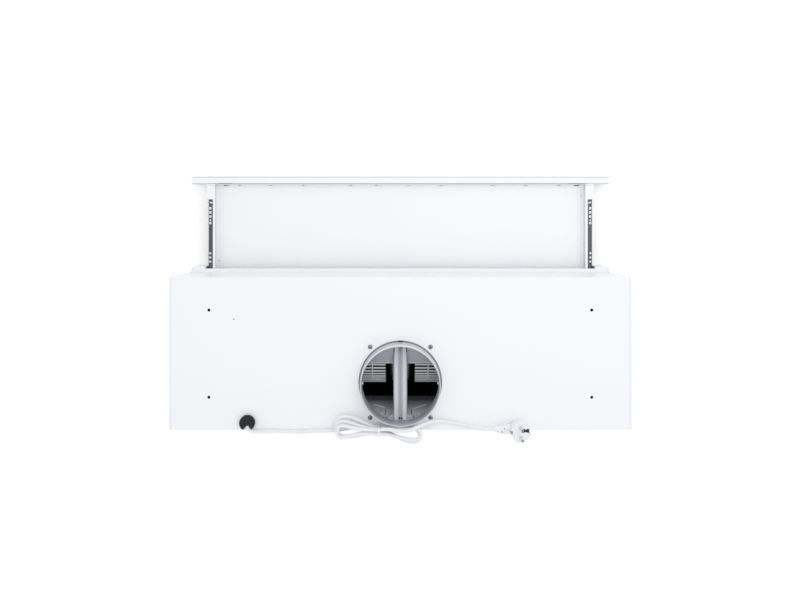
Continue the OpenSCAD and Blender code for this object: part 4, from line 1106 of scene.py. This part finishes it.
def plug_recess_shade():
    """A dark inlay on the plug's face, painted as the shade of its waisted hollow round the earth
    contact.
    """
    clear_selection()
    bpy.ops.mesh.primitive_cube_add(size=1, location=RECESS_PLACE)
    piece = bpy.context.object
    bpy.ops.transform.resize(value=RECESS_SIZE)
    bpy.ops.object.transform_apply(location=False, rotation=False, scale=True)
    bpy.ops.object.mode_set(mode="EDIT")
    bpy.ops.mesh.select_all(action="SELECT")
    bpy.ops.mesh.subdivide(number_cuts=5)
    for reach, grow in RECESS_FLARE:
        select_faces(piece, lambda middle, normal, reach=reach: abs(middle.x) > reach)
        bpy.ops.transform.resize(value=(1, grow, 1))
    bpy.ops.object.mode_set(mode="OBJECT")
    bevel = piece.modifiers.new("rounded", "BEVEL")
    bevel.width = 0.0002
    bevel.segments = 2
    bpy.ops.object.modifier_apply(modifier=bevel.name)
    bpy.ops.object.shade_smooth_by_angle(angle=math.radians(40))
    return piece


class HOOD_OT_plug(bpy.types.Operator):
    """Plug, its pins and the hank's tie"""
    bl_idname = "hood.plug"
    bl_label = "Plug"

    def execute(self, context):
        colour = tuple(context.scene.hood_lead.colour)
        finish_nodes(moulded("plug_plastic", colour, roughness=0.38, grain=500,
                             depth=0.00003, spread=0.04), "plug_body", "hank_tie")
        finish_nodes(nickel(), "plug_pins")
        # a dark inlay painted as the shade in the plug's hollow
        keep(plug_recess_shade(), "plug_recess_shade", "casing",
             moulded("recess_shade_black", shade(24, 25, 29)))
        # grey beads painted as the shade in the strain relief's gaps
        gaps = [bead(points, 0.0005) for points in RELIEF_GAP_SHADES]
        keep(selected_join(gaps), "relief_gap_shades", "casing",
             moulded("gap_shade_grey", shade(70, 71, 78)))
        return {"FINISHED"}


class HOOD_PT_panel(bpy.types.Panel):
    """Lists the steps that dress the hood"""
    bl_label = "Range hood"
    bl_idname = "HOOD_PT_panel"
    bl_space_type = "VIEW_3D"
    bl_region_type = "UI"
    bl_category = "Hood"

    def draw(self, context):
        layout = self.layout
        for group in GROUPS:
            settings = getattr(context.scene, group)
            box = layout.box()
            for name in settings.bl_rna.properties.keys():
                if name not in ("rna_type", "name"):
                    box.prop(settings, name)
        for step in STEPS:
            layout.operator("hood." + step)


GROUPS = {
    "hood_paint": HoodPaint, "hood_metal": HoodMetal, "hood_plastic": HoodPlastic,
    "hood_lead": HoodLead, "hood_studio": HoodStudio,
}
STEPS = ("stage", "lead", "paintwork", "slides", "outlet", "underside", "controls", "plug")
CLASSES = (
    HoodPaint, HoodMetal, HoodPlastic, HoodLead, HoodStudio, HOOD_OT_stage, HOOD_OT_lead,
    HOOD_OT_paintwork, HOOD_OT_slides, HOOD_OT_outlet, HOOD_OT_underside, HOOD_OT_controls,
    HOOD_OT_plug, HOOD_PT_panel,
)


def register():
    for item in CLASSES:
        bpy.utils.register_class(item)
    for name, group in GROUPS.items():
        setattr(bpy.types.Scene, name, bpy.props.PointerProperty(type=group))


def unregister():
    for name in GROUPS:
        delattr(bpy.types.Scene, name)
    for item in reversed(CLASSES):
        bpy.utils.unregister_class(item)


def main():
    register()
    for step in STEPS:
        getattr(bpy.ops.hood, step)()


if __name__ == "__main__":
    main()
